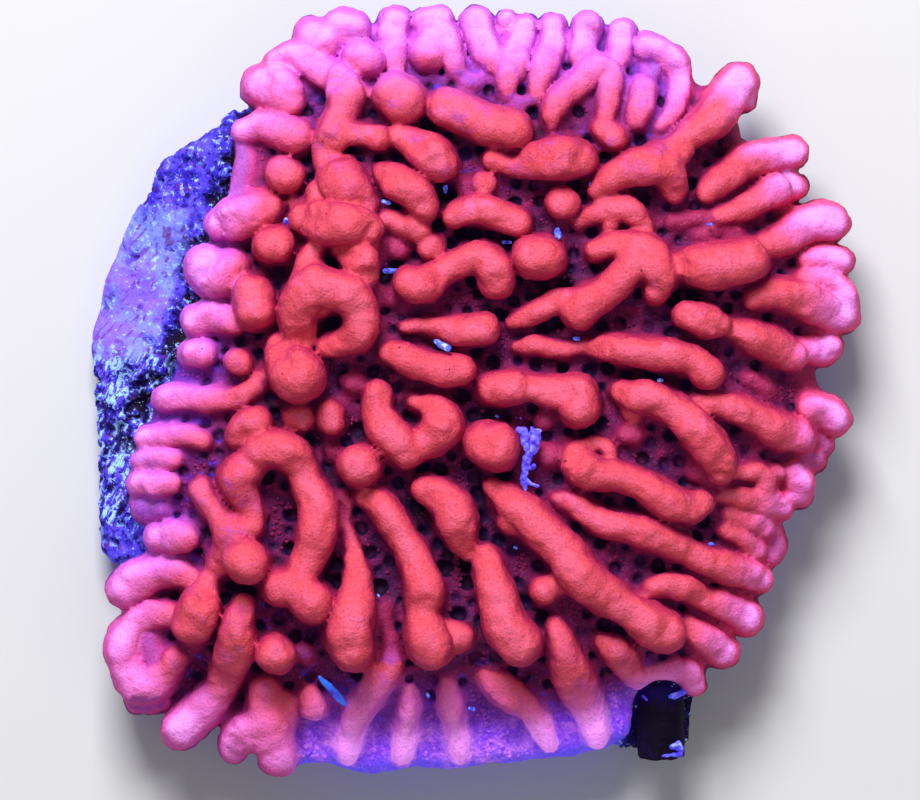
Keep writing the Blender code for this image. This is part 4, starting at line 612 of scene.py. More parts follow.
def vertex_rows(thing: bpy.types.Object, name: str) -> np.ndarray:
    """A property of an object's vertices that has three numbers, one row for each vertex."""
    flat = np.empty(3 * len(thing.data.vertices), dtype=np.float32)
    thing.data.vertices.foreach_get(name, flat)
    return flat.reshape(-1, 3).astype(float)


def vertex_places(thing: bpy.types.Object) -> np.ndarray:
    """Where an object's vertices are, in mm."""
    return vertex_rows(thing, "co") / MM


def vertex_normals(thing: bpy.types.Object) -> np.ndarray:
    """The outward direction at each vertex of an object."""
    return vertex_rows(thing, "normal")


def move_vertices(thing: bpy.types.Object, places: np.ndarray) -> None:
    """Set an object's vertices to places in mm."""
    thing.data.vertices.foreach_set("co", (places * MM).astype(np.float32).ravel())
    thing.data.update()


def paint(thing: bpy.types.Object, name: str, values: np.ndarray) -> None:
    """Store one number for each vertex under a name that a material reads."""
    layer = thing.data.attributes.new(name, "FLOAT", "POINT")
    layer.data.foreach_set("value", np.asarray(values, dtype=np.float32))


def keep_largest_shell(thing: bpy.types.Object) -> None:
    """Delete closed pockets and crumbs, so that one outer skin is left."""
    skin = bmesh.new()
    skin.from_mesh(thing.data)
    unseen = set(skin.verts)
    shells = []
    while unseen:
        shell = [unseen.pop()]
        for corner in shell:
            for edge in corner.link_edges:
                other = edge.other_vert(corner)
                if other in unseen:
                    unseen.remove(other)
                    shell.append(other)
        shells.append(shell)
    shells.sort(key=len)
    crumbs = [corner for shell in shells[:-1] for corner in shell]
    if crumbs:
        bmesh.ops.delete(skin, geom=crumbs, context="VERTS")
        skin.to_mesh(thing.data)
    skin.free()


def baked(thing: bpy.types.Object) -> None:
    """Turn an object's evaluated shape into its plain mesh and remove its modifiers."""
    graph = bpy.context.evaluated_depsgraph_get()
    mesh = bpy.data.meshes.new_from_object(thing.evaluated_get(graph), depsgraph=graph)
    thing.modifiers.clear()
    thing.data = mesh


class Reading:
    """A number in a node tree, which Python's operators join with Math nodes."""

    def __init__(self, bench: Bench, socket: bpy.types.NodeSocket) -> None:
        """Hold one output socket of a bench's tree."""
        self.bench = bench
        self.socket = socket

    def _math(self, operation: str, first: Reading | float, second: Reading | float) -> Reading:
        """A Math node on two values."""
        made = self.bench.node("ShaderNodeMath", {"operation": operation}, {0: first, 1: second})
        return Reading(self.bench, made.outputs[0])

    def __add__(self, other: Reading | float) -> Reading:
        """This plus another."""
        return self._math("ADD", self, other)

    def __radd__(self, other: float) -> Reading:
        """A number plus this."""
        return self._math("ADD", other, self)

    def __sub__(self, other: Reading | float) -> Reading:
        """This minus another."""
        return self._math("SUBTRACT", self, other)

    def __rsub__(self, other: float) -> Reading:
        """A number minus this."""
        return self._math("SUBTRACT", other, self)

    def __mul__(self, other: Reading | float) -> Reading:
        """This times another."""
        return self._math("MULTIPLY", self, other)

    def __rmul__(self, other: float) -> Reading:
        """A number times this."""
        return self._math("MULTIPLY", other, self)

    def between(self, low: float, high: float) -> Reading:
        """Rise smoothly from 0 where this is low to 1 where it is high."""
        settings = {"interpolation_type": "SMOOTHSTEP"}
        inputs = {"Value": self, "From Min": low, "From Max": high}
        made = self.bench.node("ShaderNodeMapRange", settings, inputs)
        return Reading(self.bench, made.outputs["Result"])


class Bench:
    """A node tree and the few ways in which the finishes add to it."""

    def __init__(self, tree: bpy.types.NodeTree) -> None:
        """Work on one tree."""
        self.tree = tree

    def node(self, kind: str, settings: dict | None = None, inputs: dict | None = None) -> bpy.types.Node:
        """Add a node.

        Args:
            kind: The node's type.
            settings: Its properties, set first; "stops" are a ramp's places and colours.
            inputs: Values, readings or sockets by input name or number.

        Returns:
            The node.
        """
        made = self.tree.nodes.new(kind)
        for name, value in (settings or {}).items():
            if name == "stops":
                self._stops(made.color_ramp, value)
            else:
                setattr(made, name, value)
        for name, value in (inputs or {}).items():
            socket = made.inputs[name]
            source = value.socket if isinstance(value, Reading) else value
            if isinstance(source, bpy.types.NodeSocket):
                self.tree.links.new(source, socket)
            elif isinstance(source, tuple) and len(source) == 3 and socket.type == "RGBA":
                socket.default_value = (*source, 1.0)
            else:
                socket.default_value = source
        return made

    @staticmethod
    def _stops(ramp: bpy.types.ColorRamp, stops: tuple[tuple[float, Colour], ...]) -> None:
        """Set a colour ramp's places and colours."""
        while len(ramp.elements) < len(stops):
            ramp.elements.new(1.0)
        for element, (place, colour) in zip(ramp.elements, stops):
            element.position = place
            element.color = (*colour, 1.0)

    def painted(self, name: str) -> Reading:
        """A number painted on the piece's vertices."""
        made = self.node("ShaderNodeAttribute", {"attribute_name": name})
        return Reading(self, made.outputs["Fac"])

    def place(self, turn: float = 0.0, stretch: Point3 = (1.0, 1.0, 1.0)) -> bpy.types.NodeSocket:
        """Object coordinates, turned about Z by degrees and stretched."""
        source = self.node("ShaderNodeTexCoord").outputs["Object"]
        inputs = {"Vector": source, "Rotation": (0.0, 0.0, radians(turn)), "Scale": stretch}
        return self.node("ShaderNodeMapping", {"vector_type": "TEXTURE"}, inputs).outputs["Vector"]

    def grain(self, size: float, detail: float = 3.0, rough: float = 0.55,
              place: bpy.types.NodeSocket | None = None) -> Reading:
        """Cloudy noise of 0 to 1 with lumps of about this size in mm."""
        inputs = {"Scale": 0.5 / (size * MM), "Detail": detail, "Roughness": rough}
        if place is not None:
            inputs["Vector"] = place
        else:
            inputs["Vector"] = self.node("ShaderNodeTexCoord").outputs["Object"]
        made = self.node("ShaderNodeTexNoise", {"noise_dimensions": "3D"}, inputs)
        return Reading(self, made.outputs["Fac"])

    def ramp(self, value: Reading, stops: tuple[tuple[float, Colour], ...]) -> bpy.types.NodeSocket:
        """A colour that a number picks from evenly blended stops."""
        return self.node("ShaderNodeValToRGB", {"stops": stops}, {"Fac": value}).outputs["Color"]

    def mix(self, share: Reading | float, first: Colour | bpy.types.NodeSocket,
            second: Colour | bpy.types.NodeSocket, blend: str = "MIX") -> bpy.types.NodeSocket:
        """Two colours mixed.

        Args:
            share: 0 for the first alone, 1 for the second.
            first: A colour or a colour socket.
            second: Another.
            blend: The way of mixing.

        Returns:
            The mixed colour's socket.
        """
        settings = {"data_type": "RGBA", "blend_type": blend, "clamp_factor": True}
        made = self.node("ShaderNodeMix", settings, {0: share, 6: first, 7: second})
        return made.outputs[2]

    def bump(self, height: Reading, depth: float, strength: float) -> bpy.types.NodeSocket:
        """A surface direction tilted by a height of 0 to 1 times a depth in mm."""
        inputs = {"Height": height, "Distance": depth * MM, "Strength": strength}
        return self.node("ShaderNodeBump", None, inputs).outputs["Normal"]


class Finish:
    """The base of every finish: one material with one Principled surface."""

    name = "finish"

    def build(self) -> bpy.types.Material:
        """Make the material."""
        material = bpy.data.materials.new(self.name)
        material.use_nodes = True
        material.node_tree.nodes.clear()
        bench = Bench(material.node_tree)
        surface = bench.node("ShaderNodeBsdfPrincipled", None, self.sockets(bench))
        bench.node("ShaderNodeOutputMaterial", None, {"Surface": surface.outputs["BSDF"]})
        return material

    def sockets(self, bench: Bench) -> dict:
        """The Principled surface's inputs by name."""
        raise NotImplementedError


class TissueReadings:
    """What the tissue's colours depend on: three grains and the values painted on the skin."""

    def __init__(self, bench: Bench) -> None:
        """Read each of them once."""
        self.patches = bench.grain(2.4, 2.0)
        self.mottle = bench.grain(0.7, 3.0)
        self.velvet = bench.grain(0.1, 2.0, 0.7)
        self.lean = bench.painted("lean")
        self.relief = bench.painted("relief")
        self.open_air = bench.painted("open_air")
        self.cool = bench.painted("cool")
        self.margin = bench.painted("margin") + 0.2 * (self.patches - 0.5)
        ragged = 1.6 * bench.grain(0.9, 4.0, 0.6) + 0.25
        self.skirt = (bench.painted("skirt") * ragged).between(0.0, 1.0)


@dataclass(frozen=True)
class LivingTissue(Finish):
    """Coral tissue: orange-red ridges, pink and lilac margins, dark purple valleys, with painted shade,
    highlights and glow.
    """

    name = "living_tissue"
    ridge: Colour = srgb(208, 72, 92)
    ridge_highlight: Colour = srgb(222, 98, 134)
    ridge_shade_and_stipple: Colour = srgb(172, 34, 82)
    ridge_pink: Colour = srgb(228, 92, 142)
    ridge_rose: Colour = srgb(230, 110, 194)
    ridge_lilac: Colour = srgb(234, 148, 242)
    shaded_side_warm: Colour = srgb(220, 62, 118)
    shaded_side_cool: Colour = srgb(196, 84, 206)
    low_ridge: Colour = srgb(154, 42, 102)
    low_cool: Colour = srgb(130, 58, 188)
    flank: Colour = srgb(138, 26, 78)
    valley: Colour = srgb(98, 20, 76)
    gap: Colour = srgb(22, 4, 38)
    pit: Colour = srgb(30, 8, 62)
    valley_shadow: Colour = srgb(44, 9, 64)
    floor_warm: Colour = srgb(150, 36, 90)
    floor_cool: Colour = srgb(104, 40, 160)
    floor_blue: Colour = srgb(80, 48, 204)
    skirt_low: Colour = srgb(130, 66, 238)
    skirt_high: Colour = srgb(238, 146, 255)
    skirt_edge: Colour = srgb(98, 82, 255)
    speck: Colour = srgb(255, 190, 224)
    unlit: Colour = (0.0, 0.0, 0.0)
    glow: float = 0.36
    glow_share: float = 0.28
    specular: float = 0.14
    bump_depth: float = 0.22
    bump_strength: float = 0.8

    def sockets(self, bench: Bench) -> dict:
        """The Principled surface's inputs by name."""
        here = TissueReadings(bench)
        # The sides' colour: painted shade on steep and creased ridges, and at the ridges' feet near the
        # margin
        side = bench.mix(here.cool, self.shaded_side_warm, self.shaded_side_cool)
        flank = bench.mix(here.margin.between(0.0, 0.7), self.flank, side)
        foot = (here.relief + 0.18 * (here.mottle - 0.5)).between(0.0, 0.24)
        tissue = bench.mix(foot, self._floor(bench, here), flank)
        # Places shut in by other ridges keep less of the crown colour: painted shade
        rise = here.relief * (1.0 + 0.9 * here.margin) + 0.25 * (here.open_air - 0.6)
        rise = (rise + 0.1 * (here.mottle - 0.5)).between(0.14, 0.55)
        tissue = bench.mix(rise, tissue, self._crown(bench, here, side))
        tissue = bench.mix(here.skirt, tissue, self._violet(bench, here))
        # Painted shade inside the corallite dimples
        tissue = bench.mix(bench.painted("pit"), tissue, self.pit)
        # Fine dark stipple from the grain, in the same deep red as the ridges' painted shade
        grooves = (0.5 - here.velvet).between(0.0, 0.2) * 0.34
        tissue = bench.mix(grooves, tissue, self.ridge_shade_and_stipple, "MULTIPLY")
        specks = (here.velvet - 0.6).between(0.0, 0.16) * 0.16
        tissue = bench.mix(specks * here.open_air, tissue, self.speck)
        # Painted glow: the tissue gives off some of its own colour, and the skirt more, so its slope away
        # from the key light stays bright
        lit = self.glow_share + (1.0 - self.glow_share) * here.skirt
        height = 0.5 * here.mottle + 0.5 * here.velvet
        return {
            "Base Color": tissue,
            "Roughness": 0.6 + 0.2 * here.mottle,
            "Specular IOR Level": self.specular,
            "Emission Color": bench.mix(lit, self.unlit, tissue),
            "Emission Strength": self.glow,
            "Normal": bench.bump(height, self.bump_depth, self.bump_strength),
        }

    def _crown(self, bench: Bench, here: TissueReadings, side: bpy.types.NodeSocket) -> bpy.types.NodeSocket:
        """The colour of the ridges' tops, with painted shade in their sides' colour where they are steep or
        creased.
        """
        # Painted highlight: tops that face up turn a paler pink
        top_highlight = (here.lean + 0.5 * (here.patches - 0.5)).between(0.8, 1.05) * 0.6
        crown = bench.mix(top_highlight, self.ridge, self.ridge_highlight)
        blush = (bench.grain(1.3, 3.0) + 0.1 * (here.velvet - 0.5)).between(0.62, 0.74) * 0.4
        crown = bench.mix(blush * here.lean, crown, self.ridge_rose)
        tips = ((0.25, self.ridge_pink), (0.6, self.ridge_rose), (0.95, self.ridge_lilac))
        crown = bench.mix(here.margin.between(0.0, 0.4), crown, bench.ramp(here.margin, tips))
        lowness = (1.0 - bench.painted("warmth")).between(0.3, 1.0) * 0.75
        crown = bench.mix(lowness, crown, bench.mix(here.cool, self.low_ridge, self.low_cool))
        cloudy = (bench.grain(0.8, 4.0, 0.6) + 0.15 * (here.velvet - 0.5)).between(0.5, 0.66)
        crown = bench.mix(here.cool * cloudy * 0.42, crown, self.low_cool)
        shaded = bench.mix(here.margin.between(0.05, 0.6), self.ridge_shade_and_stipple, side)
        # Painted shade: steep sides and the creases between merged ridges take the shaded colour
        steep_shade = (0.82 - here.lean + 0.2 * (here.mottle - 0.5)).between(0.0, 0.75)
        crown = bench.mix(steep_shade * (0.9 - 0.35 * here.margin), crown, shaded)
        crease_shade = (bench.painted("core") + 0.2 * (here.mottle - 0.5)).between(0.42, 0.04)
        return bench.mix(crease_shade * (0.55 + 0.2 * here.margin), crown, shaded)

    def _floor(self, bench: Bench, here: TissueReadings) -> bpy.types.NodeSocket:
        """The colour of the valley floors, with painted shadow blotches and painted shade where they are
        shut in.
        """
        patchy = (bench.grain(0.6, 4.0, 0.6) + 0.5 * (here.relief - 0.1)).between(0.46, 0.62) * 0.6
        inner = bench.mix(patchy, self.valley, self.floor_warm)
        outer = bench.mix(here.cool, self.floor_warm, self.floor_cool)
        floor = bench.mix(here.margin.between(0.0, 0.75), inner, outer)
        blue = here.cool * bench.grain(0.45, 4.0, 0.6).between(0.54, 0.66) * 0.85
        floor = bench.mix(blue, floor, self.floor_blue)
        shadow = (bench.grain(1.1, 4.0, 0.62) - 0.4 * (here.relief - 0.1)).between(0.5, 0.64) * 0.7
        floor = bench.mix(shadow * (1.0 - here.cool) * (1.0 - 0.6 * here.margin), floor, self.valley_shadow)
        # Painted shade: valley floors with little open air around them go to near black
        deep = (here.open_air + 0.3 * (here.mottle - 0.5)).between(0.4, 0.1)
        return bench.mix(deep * (0.92 - 0.5 * here.margin), floor, self.gap)

    def _violet(self, bench: Bench, here: TissueReadings) -> bpy.types.NodeSocket:
        """The colour of the skirt along the lower margin."""
        pale = here.relief + 0.6 * (bench.grain(0.4, 4.0, 0.65) - 0.5) + 0.5 * (here.patches - 0.5)
        pale = pale.between(-0.08, 0.34)
        violet = bench.mix(pale, self.skirt_low, self.skirt_high)
        return bench.mix(bench.painted("edge") * (0.95 - pale), violet, self.skirt_edge)


@dataclass(frozen=True)
class ReefRock(Finish):
    """Porous reef rock: blue and violet with pale blue patches, dark pores and bright streaks, and painted
    shade in its holes and by the coral.
    """

    name = "reef_rock"
    blue: Colour = srgb(90, 72, 246)
    deep: Colour = srgb(50, 32, 184)
    pale: Colour = srgb(122, 134, 255)
    violet: Colour = srgb(132, 96, 240)
    maroon: Colour = srgb(96, 26, 104)
    pore_and_shade: Colour = srgb(14, 3, 28)
    streak: Colour = srgb(156, 200, 255)
    glow: float = 0.26
    streak_lean: float = -26.0
    streak_stretch: Point3 = (1.0, 4.2, 1.0)
    scratch_lean: float = -42.0
    scratch_stretch: Point3 = (1.0, 8.0, 1.0)
    specular: float = 0.16
    bump_depth: float = 0.25
    bump_strength: float = 0.8

    def sockets(self, bench: Bench) -> dict:
        """The Principled surface's inputs by name."""
        cloud = bench.grain(0.9, 5.0, 0.62)
        fine = bench.grain(0.2, 4.0, 0.65)
        grit = 0.3 * (fine - 0.5)
        line = bench.grain(0.22, 3.0, 0.6, bench.place(self.streak_lean, self.streak_stretch))
        scratch = bench.grain(0.18, 2.0, 0.6, bench.place(self.scratch_lean, self.scratch_stretch))
        calm = bench.painted("calm")
        streaky = bench.painted("streaky")
        base = bench.mix((cloud + grit).between(0.38, 0.6), self.deep, self.blue)
        smooth = bench.mix((bench.grain(2.6, 3.0) + grit).between(0.46, 0.6), self.violet, self.pale)
        smooth = bench.mix((0.42 - scratch).between(0.0, 0.08) * 0.7, smooth, self.maroon)
        base = bench.mix((calm + 0.9 * (cloud - 0.5)).between(0.2, 0.7) * 0.9, base, smooth)
        base = bench.mix((bench.grain(0.5, 4.0) + grit).between(0.58, 0.66) * 0.7, base, self.maroon)
        dapple = (bench.grain(0.34, 3.0) + grit).between(0.56, 0.68)
        base = bench.mix(dapple * (0.75 - 0.5 * calm), base, self.pale)
        base = bench.mix(streaky * (line + grit).between(0.52, 0.6), base, self.streak)
        base = bench.mix(streaky * (line + grit).between(0.45, 0.4) * 0.9, base, self.pore_and_shade)
        # Painted shade on the bare rock along the coral's edge, then in its holes and on the tube's ledge
        coral_edge_shade = bench.painted("coral_edge_shade") * (bench.grain(0.4, 4.0) + grit).between(0.5, 0.4)
        base = bench.mix(coral_edge_shade, base, self.pore_and_shade)
        base = bench.mix(bench.painted("hole_and_ledge_shade"), base, self.pore_and_shade)
        base = bench.mix((fine - 0.58).between(0.0, 0.06) * 0.7, base, self.streak)
        base = bench.mix((0.43 - fine).between(0.0, 0.07) * (0.85 - 0.6 * calm), base, self.pore_and_shade)
        height = 0.6 * fine + 0.4 * line
        return {
            "Base Color": base,
            "Roughness": 0.65 + 0.25 * fine,
            "Specular IOR Level": self.specular,
            "Emission Color": base,
            "Emission Strength": self.glow,
            "Normal": bench.bump(height, self.bump_depth, self.bump_strength),
        }


@dataclass(frozen=True)
class TubeWall(Finish):
    """The dull dark wall of a worm's tube."""

    name = "tube_wall"
    dark: Colour = srgb(10, 2, 26)
    bruise: Colour = srgb(28, 6, 62)
    lining: Colour = srgb(26, 6, 96)
    specular: float = 0.12
    bump_depth: float = 0.2
    bump_strength: float = 0.7

    def sockets(self, bench: Bench) -> dict:
        """The Principled surface's inputs by name."""
        cloud = bench.grain(1.2, 4.0)
        fine = bench.grain(0.25, 3.0)
        colour = bench.mix((cloud + 0.3 * (fine - 0.5)).between(0.45, 0.7), self.dark, self.bruise)
        colour = bench.mix(bench.painted("mouth"), colour, self.lining)
        return {
            "Base Color": colour,
            "Roughness": 0.6 + 0.3 * fine,
            "Specular IOR Level": self.specular,
            "Normal": bench.bump(0.5 * fine + 0.5 * cloud, self.bump_depth, self.bump_strength),
        }


@dataclass(frozen=True)
class Debris(Finish):
    """Bits of pale blue grit and thread lodged in the valleys."""

    name = "lodged_debris"
    body: Colour = srgb(98, 84, 248)
    shade: Colour = srgb(58, 26, 190)
    bright: Colour = srgb(150, 150, 255)
    grain_size: float = 0.3
    glow: float = 0.3
    bump_depth: float = 0.1
    bump_strength: float = 0.6

    def sockets(self, bench: Bench) -> dict:
        """The Principled surface's inputs by name."""
        fine = bench.grain(self.grain_size, 4.0, 0.6)
        colour = bench.mix(fine.between(0.36, 0.52), self.shade, self.body)
        colour = bench.mix(fine.between(0.54, 0.68), colour, self.bright)
        return {
            "Base Color": colour,
            "Roughness": 0.5 + 0.3 * fine,
            "Emission Color": colour,
            "Emission Strength": self.glow,
            "Normal": bench.bump(fine, self.bump_depth, self.bump_strength),
        }


@dataclass(frozen=True)
class Paper(Finish):
    """The plain pale floor."""

    name = "studio_floor"
    tone: Colour = (0.62, 0.62, 0.64)
    roughness: float = 0.9
    specular: float = 0.1

    def sockets(self, bench: Bench) -> dict:
        """The Principled surface's inputs by name."""
        return {
            "Base Color": self.tone,
            "Roughness": self.roughness,
            "Specular IOR Level": self.specular,
        }


@dataclass
class Crust:
    """The thin domed crust that the ridges stand on, as heights over its plan."""

    rim_top: float = 4.6
    dome_rise: float = 5.0
    dome_reach: float = 11.0
    west_lift: float = 1.9
    west_lift_fade: float = 0.5
    west_across: Span = (-10.0, -15.0)
    west_lower: Span = (-13.0, -8.0)
    west_upper: Span = (19.5, 15.0)
    crest_rise: float = 2.2
    crest_centre: Point2 = (-8.5, 9.0)
    crest_spread: Point2 = (5.0, 9.5)
    crest_from_edge: Span = (0.0, 0.6)
    skirt_drop: float = 1.3
    skirt_down: Span = (-15.0, -19.0)
    skirt_from_edge: Span = (0.0, 0.25)
    rim_thickness: float = 1.2
    thickness: float = 2.4
    thickens_over: float = 6.0

    def __post_init__(self) -> None:
        """Draw the crust's edge."""
        self.edge = spline(CRUST_EDGE, EDGE_STEP, closed=True)

    def inside(self, places: np.ndarray) -> np.ndarray:
        """Distance inside the crust's edge, in mm."""
        return inside_distance(places, self.edge)

    def top(self, places: np.ndarray) -> np.ndarray:
        """Height of the crust's upper surface between the ridges, in mm."""
        x, y = places[:, 0], places[:, 1]
        inside = np.clip(self.inside(places) / self.dome_reach, 0.0, 1.0)
        dome = self.dome_rise * (1.0 - (1.0 - inside) ** 2)
        west = smoothstep(*self.west_across, x) * smoothstep(*self.west_lower, y)
        west = west * smoothstep(*self.west_upper, y)
        lift = self.west_lift * west * (1.0 - self.west_lift_fade * inside)
        across = ((x - self.crest_centre[0]) / self.crest_spread[0]) ** 2
        down = ((y - self.crest_centre[1]) / self.crest_spread[1]) ** 2
        crest = self.crest_rise * np.exp(-across - down) * smoothstep(*self.crest_from_edge, inside)
        skirt = self.skirt_drop * smoothstep(*self.skirt_down, y) * smoothstep(*self.skirt_from_edge, inside)
        return self.rim_top + lift + dome + crest - skirt

    def depth(self, inside: np.ndarray) -> np.ndarray:
        """Thickness of the crust at a distance inside its edge, in mm."""
        share = np.clip(inside / self.thickens_over, 0.0, 1.0)
        return self.rim_thickness + (self.thickness - self.rim_thickness) * share


@dataclass(frozen=True)
class Corallites:
    """How the sunken cups between the ridges are scattered, sized and shaded."""

    place_seed: int = 17
    tries: int = 9000
    spacing: float = 0.92
    radius: float = 0.38
    ridge_room: float = 0.5
    rim_room: float = 1.6
    skirt_room: float = 3.0
    size_seed: int = 23
    young_size: float = 0.6
    grown_inside: Span = (2.0, 6.0)
    size_range: Span = (0.55, 1.2)
    darkness_range: Span = (0.3, 1.0)
    stretch: float = 1.3
    lip_blend: float = 0.22
    reach: float = 0.7
    shade_radii: Span = (1.5, 0.7)


@dataclass(frozen=True)
class Complexion:
    """Where the tissue's looks change: zones of the plan, and fades and reaches in mm or in shares."""

    skirt: Zone = Zone(up=((-14.5, -19.0),), across=((-12.5, -10.0), (14.5, 10.0)))
    north: Zone = Zone(up=((11.0, 17.0),), across=((-15.0, -9.0), (15.0, 11.0)))
    north_east: Zone = Zone(up=((11.5, 14.5),), across=((11.0, 14.0),))
    west: Zone = Zone(up=((-14.0, -9.0),), across=((-13.0, -16.0),))
    lower: Zone = Zone(up=((9.0, 1.0),))
    south_west: Zone = Zone(up=((-8.0, -16.0),), across=((-6.0, -16.0),))
    middle: Zone = Zone(across=((-10.5, -8.0), (2.5, -1.0)))
    reach: float = 3.5
    north_reach: float = 4.0
    lower_west_reach: float = 2.6
    south_west_reach: float = 1.6
    north_east_reach: float = -1.5
    skirt_reach: float = 3.4
    middle_skirt_reach: float = 5.0
    margin_fade: Span = (-0.4, 1.0)
    steep_margin_shade: float = 0.72
    north_facing_highlight: float = 0.5
    skirt_margin: float = 0.35
    south_west_cool: float = 0.5
    skirt_core: Span = (0.32, 0.02)
    skirt_floor: Span = (4.4, 0.6)
    skirt_ridges: Span = (4.0, 0.8)
    skirt_ridge_share: float = 0.85
    skirt_warmth: Span = (5.5, 3.5)
    skirt_relief: float = 0.5
    skirt_relief_core: Span = (0.05, 0.4)
    relief_height: float = 3.0
    most_relief: float = 1.2
    edge: Span = (1.3, 0.1)
    probe_out: float = 0.9
    probe_up: float = 0.5
    shut_in: Span = (0.02, 0.62)

    def margin(self, places: np.ndarray, normals: np.ndarray, inside: np.ndarray) -> np.ndarray:
        """How far the tissue is that of the pink margin, paler as painted light where it faces up and north.

        Args:
            places: In mm, one row each.
            normals: The outward direction at each.
            inside: Distance inside the crust's edge at each, in mm.

        Returns:
            A share of 0 to 1 for each place.
        """
        below = self.skirt.share(places)
        lower_west = self.west.share(places) * self.lower.share(places)
        reach = self.reach + self.north_reach * self.north.share(places) + self.lower_west_reach * lower_west
        reach = reach + self.south_west_reach * self.south_west.share(places)
        reach = reach + self.north_east_reach * self.north_east.share(places)
        reach = reach + (self.skirt_reach + self.middle_skirt_reach * self.middle.share(places)) * below
        margin = 1.0 - smoothstep(*self.margin_fade, inside / reach)
        # Painted light: the margin's pale colour weakens on steep sides and strengthens on sides facing
        # north
        lean = np.clip(normals[:, 2], 0.0, 1.0)
        level = self.steep_margin_shade + (1.0 - self.steep_margin_shade) * lean
        lit_from_north = 1.0 + self.north_facing_highlight * normals[:, 1] * (1.0 - below)
        return np.clip(margin * level * lit_from_north * (1.0 + self.skirt_margin * below), 0.0, 1.0)

    def skirt_share(self, below: np.ndarray, inside: np.ndarray, core: np.ndarray) -> np.ndarray:
        """How far the tissue is that of the violet skirt.

        Args:
            below: How far each place lies in the skirt's zone.
            inside: Distance inside the crust's edge at each, in mm.
            core: Nearness to the middle line of a ridge at each, 0 to 1.

        Returns:
            A share of 0 to 1 for each place.
        """
        ground = smoothstep(*self.skirt_core, core)
        ridges = self.skirt_ridge_share * (1.0 - ground) * smoothstep(*self.skirt_ridges, inside)
        return below * (ground * smoothstep(*self.skirt_floor, inside) + ridges)


